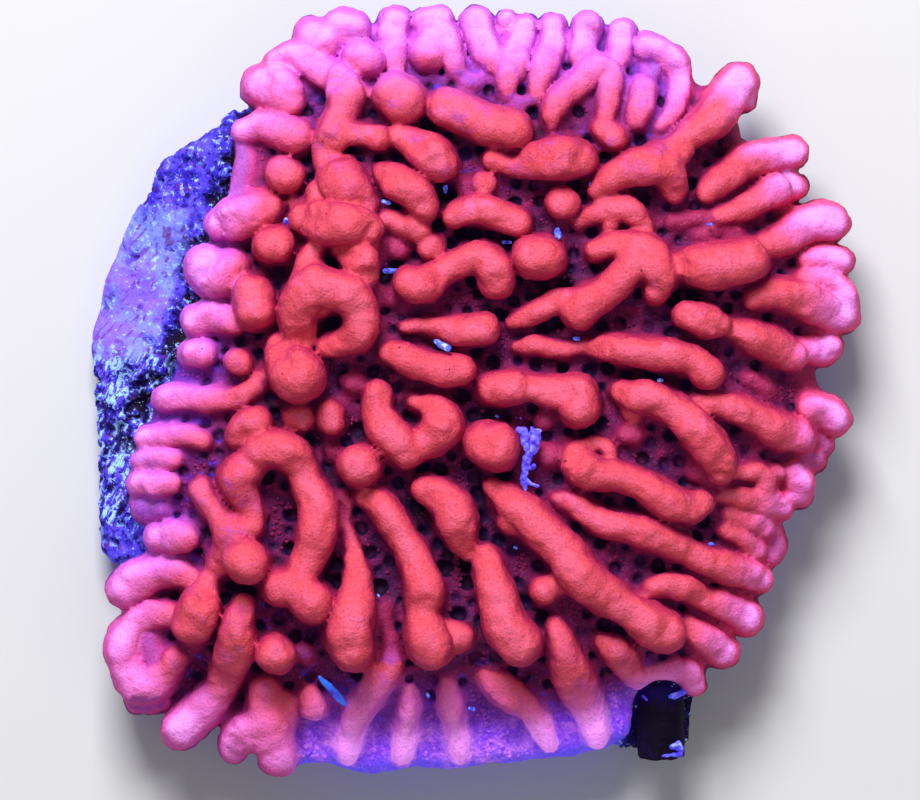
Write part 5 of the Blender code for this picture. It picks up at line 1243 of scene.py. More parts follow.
@dataclass
class CoralColony:
    """The colony's skin: crust, ridges, corallite dimples and the painted values of its finish."""

    crust: Crust
    cups: Corallites = Corallites()
    looks: Complexion = Complexion()
    step: float = 0.22
    low: Point3 = (-24.4, -24.9, 3.0)
    high: Point3 = (25.0, 25.2, 15.6)
    ridges_far: float = 3.0
    plan_far: float = 9.0
    growth: float = 0.03
    bead_step: float = 0.4
    least_run: float = 1e-9
    window_margin: float = 1.6
    window_depth: float = 2.4
    edge_blend: float = 0.8
    ridge_blend: float = 0.14
    foot_blend: float = 0.65
    tall_flare: float = 0.08
    low_flare: float = 0.24
    least_stand: float = 0.3
    foot_depth: float = 0.6
    foot_rounding: float = 0.5
    skirt_run: int = 5
    tube_notch: Point3 = (11.5, -19.68, 1.8)
    notch_blend: float = 0.35
    crowding_reach: float = 1.9
    wobble: float = 0.19
    wobble_lumps: Lumps = Lumps(1.7, 3, 4.0)
    underside_depth: float = 0.75
    underside_lean: float = -0.5
    underside_thinning: float = 0.85

    def build(self) -> bpy.types.Object:
        """Make the skin and paint it."""
        self.field = VoxelField(self.low, self.high, self.step)
        self._lay_crust()
        self._raise_ridges()
        self._cut_notch()
        self.pores = self._place_pores()
        self._sink_pores()
        self.crowding = self.field.crowding(self.crowding_reach)
        places, quads = self.field.skin()
        thing = new_object("coral_skin", places, quads)
        keep_largest_shell(thing)
        self._roughen(thing)
        self._paint(thing)
        self._thin_underside(thing)
        self.finish = LivingTissue().build()
        thing.data.materials.append(self.finish)
        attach(thing, BODY)
        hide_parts("coral_colony")
        return thing

    def _lay_crust(self) -> None:
        """Fill the field with the crust alone."""
        field = self.field
        self.inside = field.plan(self.crust.inside(field.columns))
        self.floor = field.plan(self.crust.top(field.columns))
        slope_x, slope_y = np.gradient(self.floor, self.step)
        tilt = np.sqrt(1.0 + slope_x ** 2 + slope_y ** 2)[:, :, None]
        self.floor_normal = np.dstack([-slope_x, -slope_y, np.ones_like(slope_x)]) / tilt
        z = field.axes[2][None, None, :].astype(np.float32)
        above = (z - self.floor[:, :, None]) / tilt
        below = (self.floor[:, :, None] - self.crust.depth(self.inside)[:, :, None] - z) / tilt
        slab = smooth_max(above, below, self.edge_blend)
        field.values[:] = smooth_max(slab, -self.inside[:, :, None], self.edge_blend)

    def _raise_ridges(self) -> None:
        """Join every ridge to the crust."""
        field = self.field
        ridges = np.full(field.shape, self.ridges_far, dtype=np.float32)
        self.nearness = np.full(field.shape[:2], self.plan_far, dtype=np.float32)
        self.warmth = np.zeros(field.shape[:2], dtype=np.float32)
        self.core = np.zeros(field.shape[:2], dtype=np.float32)
        for ridge in RIDGES:
            self._raise_ridge(ridge, ridges)
        ridges = self._soften_skirt(ridges)
        field.values[:] = smooth_min(field.values, ridges, self.foot_blend)

    def _soften_skirt(self, ridges: np.ndarray) -> np.ndarray:
        """The field of ridges with those on the skirt drawn out smoothly down the slope."""
        share = self.field.plan(self.looks.skirt.share(self.field.columns))[:, :, None]
        steps = range(-self.skirt_run, self.skirt_run + 1)
        drawn_out = sum(np.roll(ridges, step, axis=1) for step in steps) / len(steps)
        return (ridges * (1.0 - share) + drawn_out * share).astype(np.float32)

    def _raise_ridge(self, ridge: Ridge, ridges: np.ndarray) -> None:
        """Add one ridge to the field of all ridges.

        Args:
            ridge: The ridge.
            ridges: The field so far, changed in place.
        """
        line = spline(ridge.path, self.bead_step, closed=False)
        ground = self.crust.top(line[:, :2])
        window = self._ridge_window(ridge, line, ground)
        apart, radius, base = self._nearest_stretch(line, ground, window)
        crest = base + ridge.stand.value * radius
        radius = radius + self.growth
        z = self.field.axes[2][None, None, window[2]]
        over = z - crest
        lowness = (Stand.CREST.value - ridge.stand.value) / (Stand.CREST.value - Stand.LOW.value)
        flare = self.tall_flare + (self.low_flare - self.tall_flare) * lowness
        spread = 1.0 + flare * smoothstep(0.0, 1.0, -over / np.maximum(crest - base, self.least_stand))
        dome = np.hypot(apart, np.maximum(over, 0.0)) - radius
        body = np.where(over > 0.0, dome, apart - radius * spread)
        body = smooth_max(body, base - self.foot_depth - z, self.foot_rounding)
        ridges[window] = smooth_min(ridges[window], body.astype(np.float32), self.ridge_blend)
        self._note_in_plan(ridge, window[:2], apart[:, :, 0], radius[:, :, 0])

    def _ridge_window(self, ridge: Ridge, line: np.ndarray, ground: np.ndarray) -> tuple[slice, ...]:
        """The range of the field that a ridge may fill.

        Args:
            ridge: The ridge.
            line: Points along its top: x, y and radius.
            ground: Height of the crust at each point.

        Returns:
            The range of x, of y and of z.
        """
        widest = line[:, 2].max()
        reach = widest + self.growth + self.window_margin
        top = ground.max() + (ridge.stand.value + 1.0) * widest + self.window_margin
        low = np.array([*(line[:, :2].min(axis=0) - reach), ground.min() - self.window_depth])
        high = np.array([*(line[:, :2].max(axis=0) + reach), top])
        return self.field.window(low, high)

    def _nearest_stretch(
        self, line: np.ndarray, ground: np.ndarray, window: tuple[slice, ...]
    ) -> tuple[np.ndarray, np.ndarray, np.ndarray]:
        """Where each column of a window lies from a ridge's line.

        Args:
            line: Points along the ridge's top: x, y and radius.
            ground: Height of the crust at each point.
            window: The range of the field.

        Returns:
            Distance to the line, and the line's radius and its ground at the nearest place.
        """
        x = self.field.axes[0][window[0]][:, None, None]
        y = self.field.axes[1][window[1]][None, :, None]
        start, along = line[:-1], np.diff(line, axis=0)
        length = np.maximum(along[:, 0] ** 2 + along[:, 1] ** 2, self.least_run)
        share = ((x - start[:, 0]) * along[:, 0] + (y - start[:, 1]) * along[:, 1]) / length
        share = np.clip(share, 0.0, 1.0)
        apart = np.hypot(x - start[:, 0] - share * along[:, 0], y - start[:, 1] - share * along[:, 1])
        radius = start[:, 2] + share * along[:, 2]
        best = np.argmin(apart - radius, axis=2)[:, :, None]
        apart, radius, share = (np.take_along_axis(grid, best, axis=2) for grid in (apart, radius, share))
        return apart, radius, ground[:-1][best] + share * np.diff(ground)[best]

    def _note_in_plan(
        self, ridge: Ridge, plan: tuple[slice, ...], apart: np.ndarray, radius: np.ndarray
    ) -> None:
        """Keep how near the nearest ridge is in plan, how warm it is and how far in its middle one is.

        Args:
            ridge: The ridge.
            plan: The range of x and y around it.
            apart: Distance to its line over that range.
            radius: Its radius at the nearest place.
        """
        gap = apart - radius
        closer = gap < self.nearness[plan]
        stand = (ridge.stand.value - Stand.LOW.value) / (Stand.TALL.value - Stand.LOW.value)
        self.warmth[plan] = np.where(closer, min(1.0, stand), self.warmth[plan])
        self.nearness[plan] = np.minimum(self.nearness[plan], gap)
        self.core[plan] = np.maximum(self.core[plan], 1.0 - apart / radius)

    def _cut_notch(self) -> None:
        """Keep the margin open where the worm tube comes through."""
        x, y, half_width = self.tube_notch
        columns = self.field.columns
        aside, up = columns[:, 0] - x, columns[:, 1] - y
        apart = np.where(up < 0.0, np.abs(aside), np.hypot(aside, up))
        slot = self.field.plan(half_width - apart)[:, :, None]
        self.field.values[:] = smooth_max(self.field.values, slot, self.notch_blend)

    def _place_pores(self) -> np.ndarray:
        """Scatter the corallites over the valley floors, as x and y."""
        cups = self.cups
        tries = scattered(cups.place_seed, cups.tries)
        room = self.field.sample(self.nearness, tries)
        inside = self.field.sample(self.inside, tries)
        smooth_rim = cups.rim_room + cups.skirt_room * self.looks.skirt.share(tries)
        fitting = (room > cups.ridge_room * cups.radius) & (inside > smooth_rim)
        kept: list[np.ndarray] = []
        for place in tries[fitting, :2]:
            if all(np.hypot(*(place - other)) > cups.spacing for other in kept):
                kept.append(place)
        return np.array(kept)

    def _sink_pores(self) -> None:
        """Dimple the skin at every corallite."""
        field, cups = self.field, self.cups
        flat = np.column_stack([self.pores, np.zeros(len(self.pores))])
        heights = field.sample(self.floor, flat)
        self.pore_centres = np.column_stack([self.pores, heights])
        draw = np.random.default_rng(cups.size_seed)
        age = smoothstep(*cups.grown_inside, field.sample(self.inside, flat))
        grown = cups.young_size + (1.0 - cups.young_size) * age
        self.pore_sizes = cups.radius * grown * draw.uniform(*cups.size_range, len(self.pores))
        self.pore_darkness = draw.uniform(*cups.darkness_range, len(self.pores))
        for centre, radius in zip(self.pore_centres, self.pore_sizes):
            reach = np.full(3, radius + cups.reach)
            window = field.window(centre - reach, centre + reach)
            x, y, z = np.ix_(*(axis[part] for axis, part in zip(field.axes, window)))
            sunk = (z - centre[2]) / cups.stretch
            away = np.sqrt((x - centre[0]) ** 2 + (y - centre[1]) ** 2 + sunk ** 2)
            field.values[window] = smooth_max(field.values[window], radius - away, cups.lip_blend)

    def _roughen(self, thing: bpy.types.Object) -> None:
        """Give the skin the slight unevenness of tissue over skeleton."""
        places = vertex_places(thing)
        normals = vertex_normals(thing)
        swell = self.wobble * self.wobble_lumps.at(places)
        move_vertices(thing, places + normals * swell[:, None])

    def _paint(self, thing: bpy.types.Object) -> None:
        """Store what the finish reads on the skin, and painted shade in the corallites by how deep in one
        each vertex is.

        Args:
            thing: The skin.
        """
        places, normals = vertex_places(thing), vertex_normals(thing)
        for name, values in self.tissue(places, normals).items():
            paint(thing, name, values)
        reach = self.cups.reach
        outer, inner = self.cups.shade_radii
        x, y = places[:, 0], places[:, 1]
        pit = np.zeros(len(places))
        for centre, radius, darkness in zip(self.pore_centres, self.pore_sizes, self.pore_darkness):
            near = (np.abs(x - centre[0]) < reach) & (np.abs(y - centre[1]) < reach)
            away = np.linalg.norm(places[near] - centre, axis=1)
            pit[near] = np.maximum(pit[near], darkness * smoothstep(outer * radius, inner * radius, away))
        paint(thing, "pit", pit)

    def tissue(self, places: np.ndarray, normals: np.ndarray) -> dict[str, np.ndarray]:
        """What the tissue's finish reads at places on the colony.

        Args:
            places: In mm, one row each.
            normals: The outward direction at each.

        Returns:
            Lean, relief, open air, warmth, core, margin, coolness, skirt and edge, by name.
        """
        field, looks = self.field, self.looks
        inside = field.sample(self.inside, places)
        core = field.sample(self.core, places)
        below = looks.skirt.share(places)
        rise = (places[:, 2] - field.sample(self.floor, places)) / looks.relief_height
        relief = rise + looks.skirt_relief * below * smoothstep(*looks.skirt_relief_core, core)
        probes = places + looks.probe_out * normals + (0.0, 0.0, looks.probe_up)
        solid = field.sample(self.crowding, probes)
        warmth = field.sample(self.warmth, places)
        cool = looks.north.share(places) + looks.west.share(places) + below
        cool = cool + looks.south_west_cool * looks.south_west.share(places)
        return {
            "lean": np.clip(normals[:, 2], 0.0, 1.0),
            "relief": np.clip(relief, 0.0, looks.most_relief),
            # How open each place is, which the finish turns into painted shade
            "open_air": 1.0 - smoothstep(*looks.shut_in, solid),
            "warmth": np.maximum(warmth, below * smoothstep(*looks.skirt_warmth, inside)),
            "core": core,
            "margin": looks.margin(places, normals, inside),
            "cool": np.clip(cool, 0.0, 1.0),
            "skirt": looks.skirt_share(below, inside, core),
            "edge": smoothstep(*looks.edge, inside),
        }

    def _thin_underside(self, thing: bpy.types.Object) -> None:
        """Use fewer faces where the crust faces the rock."""
        places = vertex_places(thing)
        sunk = places[:, 2] < self.field.sample(self.floor, places) - self.underside_depth
        downward = vertex_normals(thing)[:, 2] < self.underside_lean
        hidden = np.nonzero(sunk & downward)[0]
        group = thing.vertex_groups.new(name="underside")
        group.add(hidden.tolist(), 1.0, "REPLACE")
        thin = thing.modifiers.new("fewer faces below", "DECIMATE")
        thin.ratio = 1.0 - self.underside_thinning * len(hidden) / len(places)
        thin.vertex_group = group.name
        baked(thing)


@dataclass
class Papillae:
    """Small rounded papillae on the valley tissue between the corallites, scattered by Geometry Nodes."""

    colony: CoralColony
    place_seed: int = 31
    tries: int = 26000
    ridge_room: float = 0.25
    rim_room: float = 0.5
    pore_room: float = 0.5
    on_surface: float = 0.3
    off_ledge: float = 0.5
    radius: float = 0.13
    subdivisions: int = 1
    size_spread: float = 0.45
    size_seed: int = 5
    sink: float = 0.03
    extra_relief: float = 0.08

    def build(self) -> bpy.types.Object:
        """Make the papillae on the colony's valley floors."""
        colony, field = self.colony, self.colony.field
        seats = self._seats()
        normals = np.column_stack([
            field.sample(colony.floor_normal[:, :, axis], seats) for axis in range(3)
        ])
        thing = new_object("valley_papillae", seats - self.sink * normals, [])
        painted = colony.tissue(seats, normals)
        painted["relief"] = painted["relief"] + self.extra_relief
        for name, values in painted.items():
            paint(thing, name, values)
        self._scatter(thing)
        baked(thing)
        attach(thing, BODY)
        return thing

    def _seats(self) -> np.ndarray:
        """Places on the open valley floors, clear of ridges, rim, corallites and the tube's ledge."""
        colony, field = self.colony, self.colony.field
        seats = scattered(self.place_seed, self.tries)
        open_floor = field.sample(colony.nearness, seats) > self.ridge_room
        seats = seats[open_floor & (field.sample(colony.inside, seats) > self.rim_room)]
        nearest = np.array([np.min(np.hypot(*(colony.pores - seat[:2]).T)) for seat in seats])
        seats = seats[nearest > self.pore_room]
        seats[:, 2] = field.sample(colony.floor, seats)
        on_crust = np.abs(field.sample(field.values, seats)) < self.on_surface
        return seats[on_crust & (TUBE_LEDGE.share(seats) < self.off_ledge)]

    def _scatter(self, thing: bpy.types.Object) -> None:
        """Add the modifier that puts a papilla on every point."""
        tree = bpy.data.node_groups.new("papillae", "GeometryNodeTree")
        face = tree.interface
        face.new_socket("Geometry", in_out="INPUT", socket_type="NodeSocketGeometry")
        sizes = {"Radius": self.radius * MM, "Size spread": self.size_spread}
        sockets = {
            name: face.new_socket(name, in_out="INPUT", socket_type="NodeSocketFloat")
            for name in sizes
        }
        face.new_socket("Geometry", in_out="OUTPUT", socket_type="NodeSocketGeometry")
        bench = Bench(tree)
        inlet = bench.node("NodeGroupInput").outputs
        ball = bench.node("GeometryNodeMeshIcoSphere", None,
                          {"Radius": inlet["Radius"], "Subdivisions": self.subdivisions})
        smooth = bench.node("GeometryNodeSetShadeSmooth", None, {"Geometry": ball.outputs["Mesh"]})
        least = bench.node("ShaderNodeMath", {"operation": "SUBTRACT"}, {0: 1.0, 1: inlet["Size spread"]})
        most = bench.node("ShaderNodeMath", {"operation": "ADD"}, {0: 1.0, 1: inlet["Size spread"]})
        scale = bench.node("FunctionNodeRandomValue", {"data_type": "FLOAT"},
                           {2: least.outputs[0], 3: most.outputs[0], "Seed": self.size_seed})
        put = bench.node("GeometryNodeInstanceOnPoints", None, {
            "Points": inlet["Geometry"],
            "Instance": smooth.outputs["Geometry"],
            "Scale": scale.outputs[1],
        })
        real = bench.node("GeometryNodeRealizeInstances", None, {"Geometry": put.outputs["Instances"]})
        dress = bench.node("GeometryNodeSetMaterial", None,
                           {"Geometry": real.outputs["Geometry"], "Material": self.colony.finish})
        bench.node("NodeGroupOutput", None, {"Geometry": dress.outputs["Geometry"]})
        scatter = thing.modifiers.new("papillae", "NODES")
        scatter.node_group = tree
        for name, size in sizes.items():
            scatter[sockets[name].identifier] = size


@dataclass(frozen=True)
class RockWear:
    """How the bare rock is pitted and streaked: zones, fades away from the coral, and depths in mm."""

    grit: Lumps = Lumps(0.7, 4, 1.0)
    ribs: Lumps = Lumps(0.5, 3, 7.0)
    pores: Lumps = Lumps(1.2, 4, 3.0)
    rib_lean: float = 26.0
    rib_stretch: float = 3.6
    bare: Span = (0.6, -0.6)
    over_foot: Span = (0.15, 0.7)
    streaky: Zone = Zone(up=((3.6, 1.2), (-9.6, -7.6)))
    calm: Zone = Zone(up=((12.8, 9.6), (0.6, 3.8)))
    calm_from_coral: Span = (-1.2, -2.8)
    shaded: Zone = Zone(up=((-6.0, -1.5),))
    shaded_from_coral: Span = (-2.4, -0.9)
    hole_from: Span = (0.1, 0.4)
    shaded_holes: float = 0.3
    calm_holes: float = 0.4
    hole_depth: float = 0.6
    grit_depth: float = 0.14
    calm_grit: float = 0.7
    rib_depth: float = 0.34
    rib_from: Span = (0.0, 0.6)
    most_swelling: float = 0.05
    hole_darkness: float = 0.5
    ledge_shade: float = 0.92


@dataclass
class BaseRock:
    """The loose piece of rock, bare and porous on the left and flat below."""

    crust: Crust
    step: float = 0.24
    low: Point3 = (-25.4, -24.2, -0.6)
    high: Point3 = (22.0, 23.6, 9.6)
    clearance: float = 0.35
    shoulder: float = 4.4
    slope: float = 0.38
    slant: float = 1.15
    edge_blend: float = 0.6
    covered_from: float = 0.9
    ledge: float = 2.3
    roughness: float = 0.75
    covered_roughness: float = 0.5
    grain: float = 3.4
    grain_octaves: int = 3
    grain_dimension: float = 0.8
    grain_lacunarity: float = 2.2
    wall: tuple[Point2, ...] = ((0.0, -0.7), (0.2, 0.1), (0.5, 0.5), (0.8, 0.15), (1.0, 0.0))
    wear: RockWear = RockWear()

    def build(self) -> bpy.types.Object:
        """Make the rock."""
        self.edge = spline(ROCK_EDGE, EDGE_STEP, closed=True)
        field = VoxelField(self.low, self.high, self.step)
        self.field = field
        inside = self.crust.inside(field.columns)
        rock_inside = inside_distance(field.columns, self.edge)
        top = self._top(field.columns, inside)
        self.cover = field.plan(inside)
        z = field.axes[2][None, None, :]
        share = np.clip(z / self.shoulder, 0.0, 1.0)
        swell = np.interp(share, *zip(*self.wall))
        side = -field.plan(rock_inside)[:, :, None] - swell
        upper = (z - field.plan(top)[:, :, None]) / self.slant
        body = smooth_max(upper, side, self.edge_blend)
        field.values[:] = np.maximum(body, -z)
        places, quads = field.skin()
        thing = new_object("reef_rock", places, quads)
        keep_largest_shell(thing)
        self._erode(thing)
        thing.data.materials.append(ReefRock().build())
        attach(thing, BODY)
        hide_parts("base_rock")
        return thing

    def _top(self, places: np.ndarray, inside: np.ndarray) -> np.ndarray:
        """Height of the rock: close under the crust, and sloping away where it is bare."""
        under = self.crust.top(places) - self.crust.depth(np.maximum(inside, 0.0)) - self.clearance
        flat = np.column_stack([places, np.zeros(len(places))]) / self.grain
        shape = (self.grain_dimension, self.grain_lacunarity, self.grain_octaves)
        lumps = np.array([noise.fractal(Vector(place), *shape) for place in flat])
        bare = self.shoulder + self.slope * np.minimum(inside, 0.0) + self.roughness * lumps
        under = under - self.covered_roughness * self.roughness * np.abs(lumps)
        lower = np.where(inside > self.covered_from, under, np.minimum(under, bare))
        ledge = TUBE_LEDGE.share(places)
        return lower * (1.0 - ledge) + self.ledge * ledge

    def _erode(self, thing: bpy.types.Object) -> None:
        """Pit and streak the rock where it is bare, and paint shade into its holes, along the coral's edge
        and on the tube's ledge.
        """
        wear = self.wear
        places, normals = vertex_places(thing), vertex_normals(thing)
        cover = self.field.sample(self.cover, places)
        bare = smoothstep(*wear.bare, cover) * smoothstep(*wear.over_foot, places[:, 2])
        lean, along = radians(wear.rib_lean), wear.rib_stretch
        turned = places @ np.array([
            [cos(lean), sin(lean) / along, 0.0],
            [-sin(lean), cos(lean) / along, 0.0],
            [0.0, 0.0, 1.0],
        ])
        ribs = smoothstep(*wear.rib_from, wear.ribs.at(turned))
        streaky = wear.streaky.share(places)
        calm = wear.calm.share(places) * smoothstep(*wear.calm_from_coral, cover)
        shaded = smoothstep(*wear.shaded_from_coral, cover) * wear.shaded.share(places)
        pores = wear.pores.at(places) + wear.shaded_holes * shaded - wear.calm_holes * calm
        holes = smoothstep(*wear.hole_from, pores)
        cut = wear.grit_depth * wear.grit.at(places) * (1.0 - wear.calm_grit * calm)
        cut = cut + wear.rib_depth * streaky * ribs + wear.hole_depth * holes
        move_vertices(thing, places - normals * (bare * np.maximum(cut, -wear.most_swelling))[:, None])
        paint(thing, "streaky", streaky * bare)
        paint(thing, "calm", calm * bare)
        paint(thing, "coral_edge_shade", shaded * bare)
        # Painted shade: holes go dark, more so by the coral, and the tube's ledge nearly black
        dark = holes * bare * (wear.hole_darkness + (1.0 - wear.hole_darkness) * shaded)
        paint(thing, "hole_and_ledge_shade", np.clip(dark + wear.ledge_shade * TUBE_LEDGE.share(places), 0.0, 1.0))


@dataclass
class WormTube:
    """The dark stub of a worm's tube on the rock's ledge."""

    radius: float = 1.45
    bore: float = 1.0
    bore_depth: float = 2.2
    length: float = 4.1
    tilt: float = 10.0
    rake: float = 0.45
    foot: Point2 = (11.5, -22.7)
    floor: float = 2.65
    raked_over: float = 1.2
    bore_taper: float = 0.15
    lining: Span = (0.9, 0.1)
    wear: float = 0.13
    wear_lumps: Lumps = Lumps(1.3, 4, 9.0)
    most_swelling: float = 0.03
    sides: int = 72
    wall_rings: int = 44
    lip_rings: int = 6
    bore_rings: int = 12

    def build(self) -> bpy.types.Object:
        """Make the tube."""
        profile = self._profile()
        height = self.floor + self.radius * cos(radians(self.tilt))
        turn = Matrix.Rotation(radians(self.tilt - 90.0), 4, "X")
        lie = Matrix.Translation((*self.foot, height)) @ turn
        shaped = np.array([lie @ Vector(place) for place in self._upright(profile)])
        thing = new_object("tube_wall", shaped, self._faces(len(profile)))
        places, normals = vertex_places(thing), vertex_normals(thing)
        worn = np.minimum(self.wear * self.wear_lumps.at(places), self.most_swelling)
        move_vertices(thing, places + normals * worn[:, None])
        mouth = np.concatenate([np.repeat([along for _, along in profile], self.sides), [0.0, 0.0]])
        lined_from, lined_to = (self.length - short for short in self.lining)
        paint(thing, "mouth", smoothstep(lined_from, lined_to, mouth))
        thing.data.materials.append(TubeWall().build())
        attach(thing, BODY)
        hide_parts("worm_tube")
        return thing

    def _profile(self) -> list[Point2]:
        """Radius and distance along the tube, from its foot's edge over the lip to the end of the bore."""
        wall = [(self.radius, along) for along in np.linspace(0.0, self.length, self.wall_rings)]
        lip = [(radius, self.length) for radius in np.linspace(self.radius, self.bore, self.lip_rings)[1:-1]]
        inner = [
            (self.bore * (1.0 - self.bore_taper + self.bore_taper * share),
             self.length - self.bore_depth * (1.0 - share))
            for share in np.linspace(1.0, 0.0, self.bore_rings)
        ]
        return wall + lip + inner

    def _upright(self, profile: list[Point2]) -> np.ndarray:
        """The profile's rings around +Z with a raked mouth, and then the middle of each end."""
        turns = 2.0 * pi * np.arange(self.sides) / self.sides
        places = []
        for radius, along in profile:
            lip = np.clip((along - self.length + self.raked_over) / self.raked_over, 0.0, 1.0)
            for turn in turns:
                rake = self.rake * radius * sin(turn) * lip
                places.append((radius * cos(turn), radius * sin(turn), along - rake))
        places += [(0.0, 0.0, profile[0][1]), (0.0, 0.0, profile[-1][1])]
        return np.array(places)

    def _faces(self, rings: int) -> list[tuple[int, ...]]:
        """The tube's faces: quads between its rings and a fan over each end."""
        first, last = rings * self.sides, rings * self.sides + 1
        end = (rings - 1) * self.sides
        faces: list[tuple[int, ...]] = []
        for side in range(self.sides):
            following = (side + 1) % self.sides
            faces.append((first, following, side))
            for start in range(0, end, self.sides):
                above = start + self.sides
                faces.append((start + side, start + following, above + following, above + side))
            faces.append((end + side, end + following, last))
        return faces


@dataclass(frozen=True)
class Bit:
    """One piece of lodged debris: x, y, height over the crust and radius along it."""

    path: tuple[tuple[float, float, float, float], ...]
    step: float = 0.07
    roughness: float = 0.35
    on_crust: bool = True


# Debris lodged in the valleys: a crumpled strand, a sliver and pale grains
STRAND = (
    Bit(((2.6, -2.3, 2.0, 0.25), (2.85, -2.35, 2.0, 0.27), (2.9, -2.9, 2.0, 0.26), (3.05, -3.4, 1.9, 0.2))),
    Bit(((3.45, -2.4, 2.05, 0.3), (3.65, -2.4, 2.05, 0.28), (3.55, -3.0, 2.05, 0.36),
        (3.45, -3.5, 2.0, 0.26))),
    Bit(((3.3, -3.6, 1.9, 0.2), (3.05, -4.0, 1.9, 0.28), (2.95, -4.7, 1.8, 0.22), (2.8, -5.4, 1.8, 0.22),
        (2.95, -5.9, 1.7, 0.15))),
    Bit(((3.0, -4.6, 1.9, 0.13), (3.4, -4.65, 2.0, 0.13), (3.5, -4.5, 2.05, 0.17))),
    Bit(((2.95, -5.3, 1.7, 0.16), (3.3, -5.6, 1.7, 0.15), (3.7, -5.75, 1.7, 0.09))),
)
SLIVER = (
    Bit(((-9.85, -17.65, 1.5, 0.12), (-9.3, -18.2, 1.4, 0.24), (-8.6, -19.0, 1.3, 0.24),
        (-8.15, -19.5, 1.2, 0.1)), roughness=0.12),
)
GRAINS = (
    Bit(((-2.55, 3.2, 2.3, 0.2), (-1.85, 2.8, 2.3, 0.22))),
    Bit(((-11.8, 10.7, 2.2, 0.22), (-11.6, 10.7, 2.2, 0.2))),
    Bit(((-5.9, 11.9, 1.0, 0.12), (-5.5, 11.8, 1.0, 0.14))),
    Bit(((-2.0, 12.8, 0.6, 0.15), (-2.0, 12.5, 0.6, 0.12))),
    Bit(((-5.7, 7.6, 0.5, 0.18), (-5.1, 7.6, 0.5, 0.16))),
    Bit(((1.6, 9.4, 0.5, 0.12), (2.0, 9.4, 0.5, 0.12))),
    Bit(((4.9, 10.05, 1.5, 0.22), (5.0, 9.75, 1.5, 0.2))),
    Bit(((6.0, 3.4, 0.6, 0.15), (6.25, 3.4, 0.6, 0.13))),
    Bit(((11.25, 0.8, 0.6, 0.13), (11.4, 0.8, 0.6, 0.12))),
    Bit(((7.0, 13.05, 0.6, 0.11), (7.0, 12.6, 0.6, 0.11))),
    Bit(((14.35, 10.5, 1.3, 0.14), (14.5, 10.5, 1.3, 0.12))),
    Bit(((3.25, 19.5, 0.5, 0.13), (3.4, 19.5, 0.5, 0.12))),
    Bit(((-1.2, 13.8, 0.4, 0.1), (-1.1, 13.8, 0.4, 0.1))),
    Bit(((2.3, -9.55, 0.5, 0.1), (2.4, -9.6, 0.5, 0.08))),
    Bit(((-6.2, -12.5, 0.6, 0.09), (-6.15, -12.6, 0.6, 0.08))),
    Bit(((-3.15, -18.7, 0.7, 0.1), (-3.05, -18.9, 0.7, 0.12))),
    Bit(((-0.5, -19.65, 0.6, 0.13), (-0.25, -19.7, 0.6, 0.12))),
    Bit(((14.45, -9.4, 0.8, 0.12), (14.6, -9.4, 0.8, 0.12))),
    Bit(((1.15, -1.4, 0.6, 0.09), (1.25, -1.45, 0.6, 0.08))),
    Bit(((2.65, -1.5, 0.7, 0.07), (2.7, -1.55, 0.7, 0.07))),
)

# Chips of grit stuck to both ends of the tube, at heights over the rock's underside
TUBE_CHIPS = (
    Bit(((10.35, -18.9, 5.7, 0.12), (10.6, -19.1, 5.8, 0.16)), on_crust=False),
    Bit(((12.05, -18.9, 6.05, 0.16), (12.45, -18.85, 5.95, 0.24), (12.85, -18.65, 5.8, 0.2)),
        on_crust=False),
    Bit(((12.15, -22.1, 5.35, 0.2), (12.5, -22.0, 5.2, 0.28), (12.7, -22.3, 5.0, 0.22)), on_crust=False),
    Bit(((11.6, -22.65, 5.5, 0.12), (12.2, -22.6, 5.4, 0.14), (12.7, -22.6, 5.1, 0.18)), on_crust=False),
)


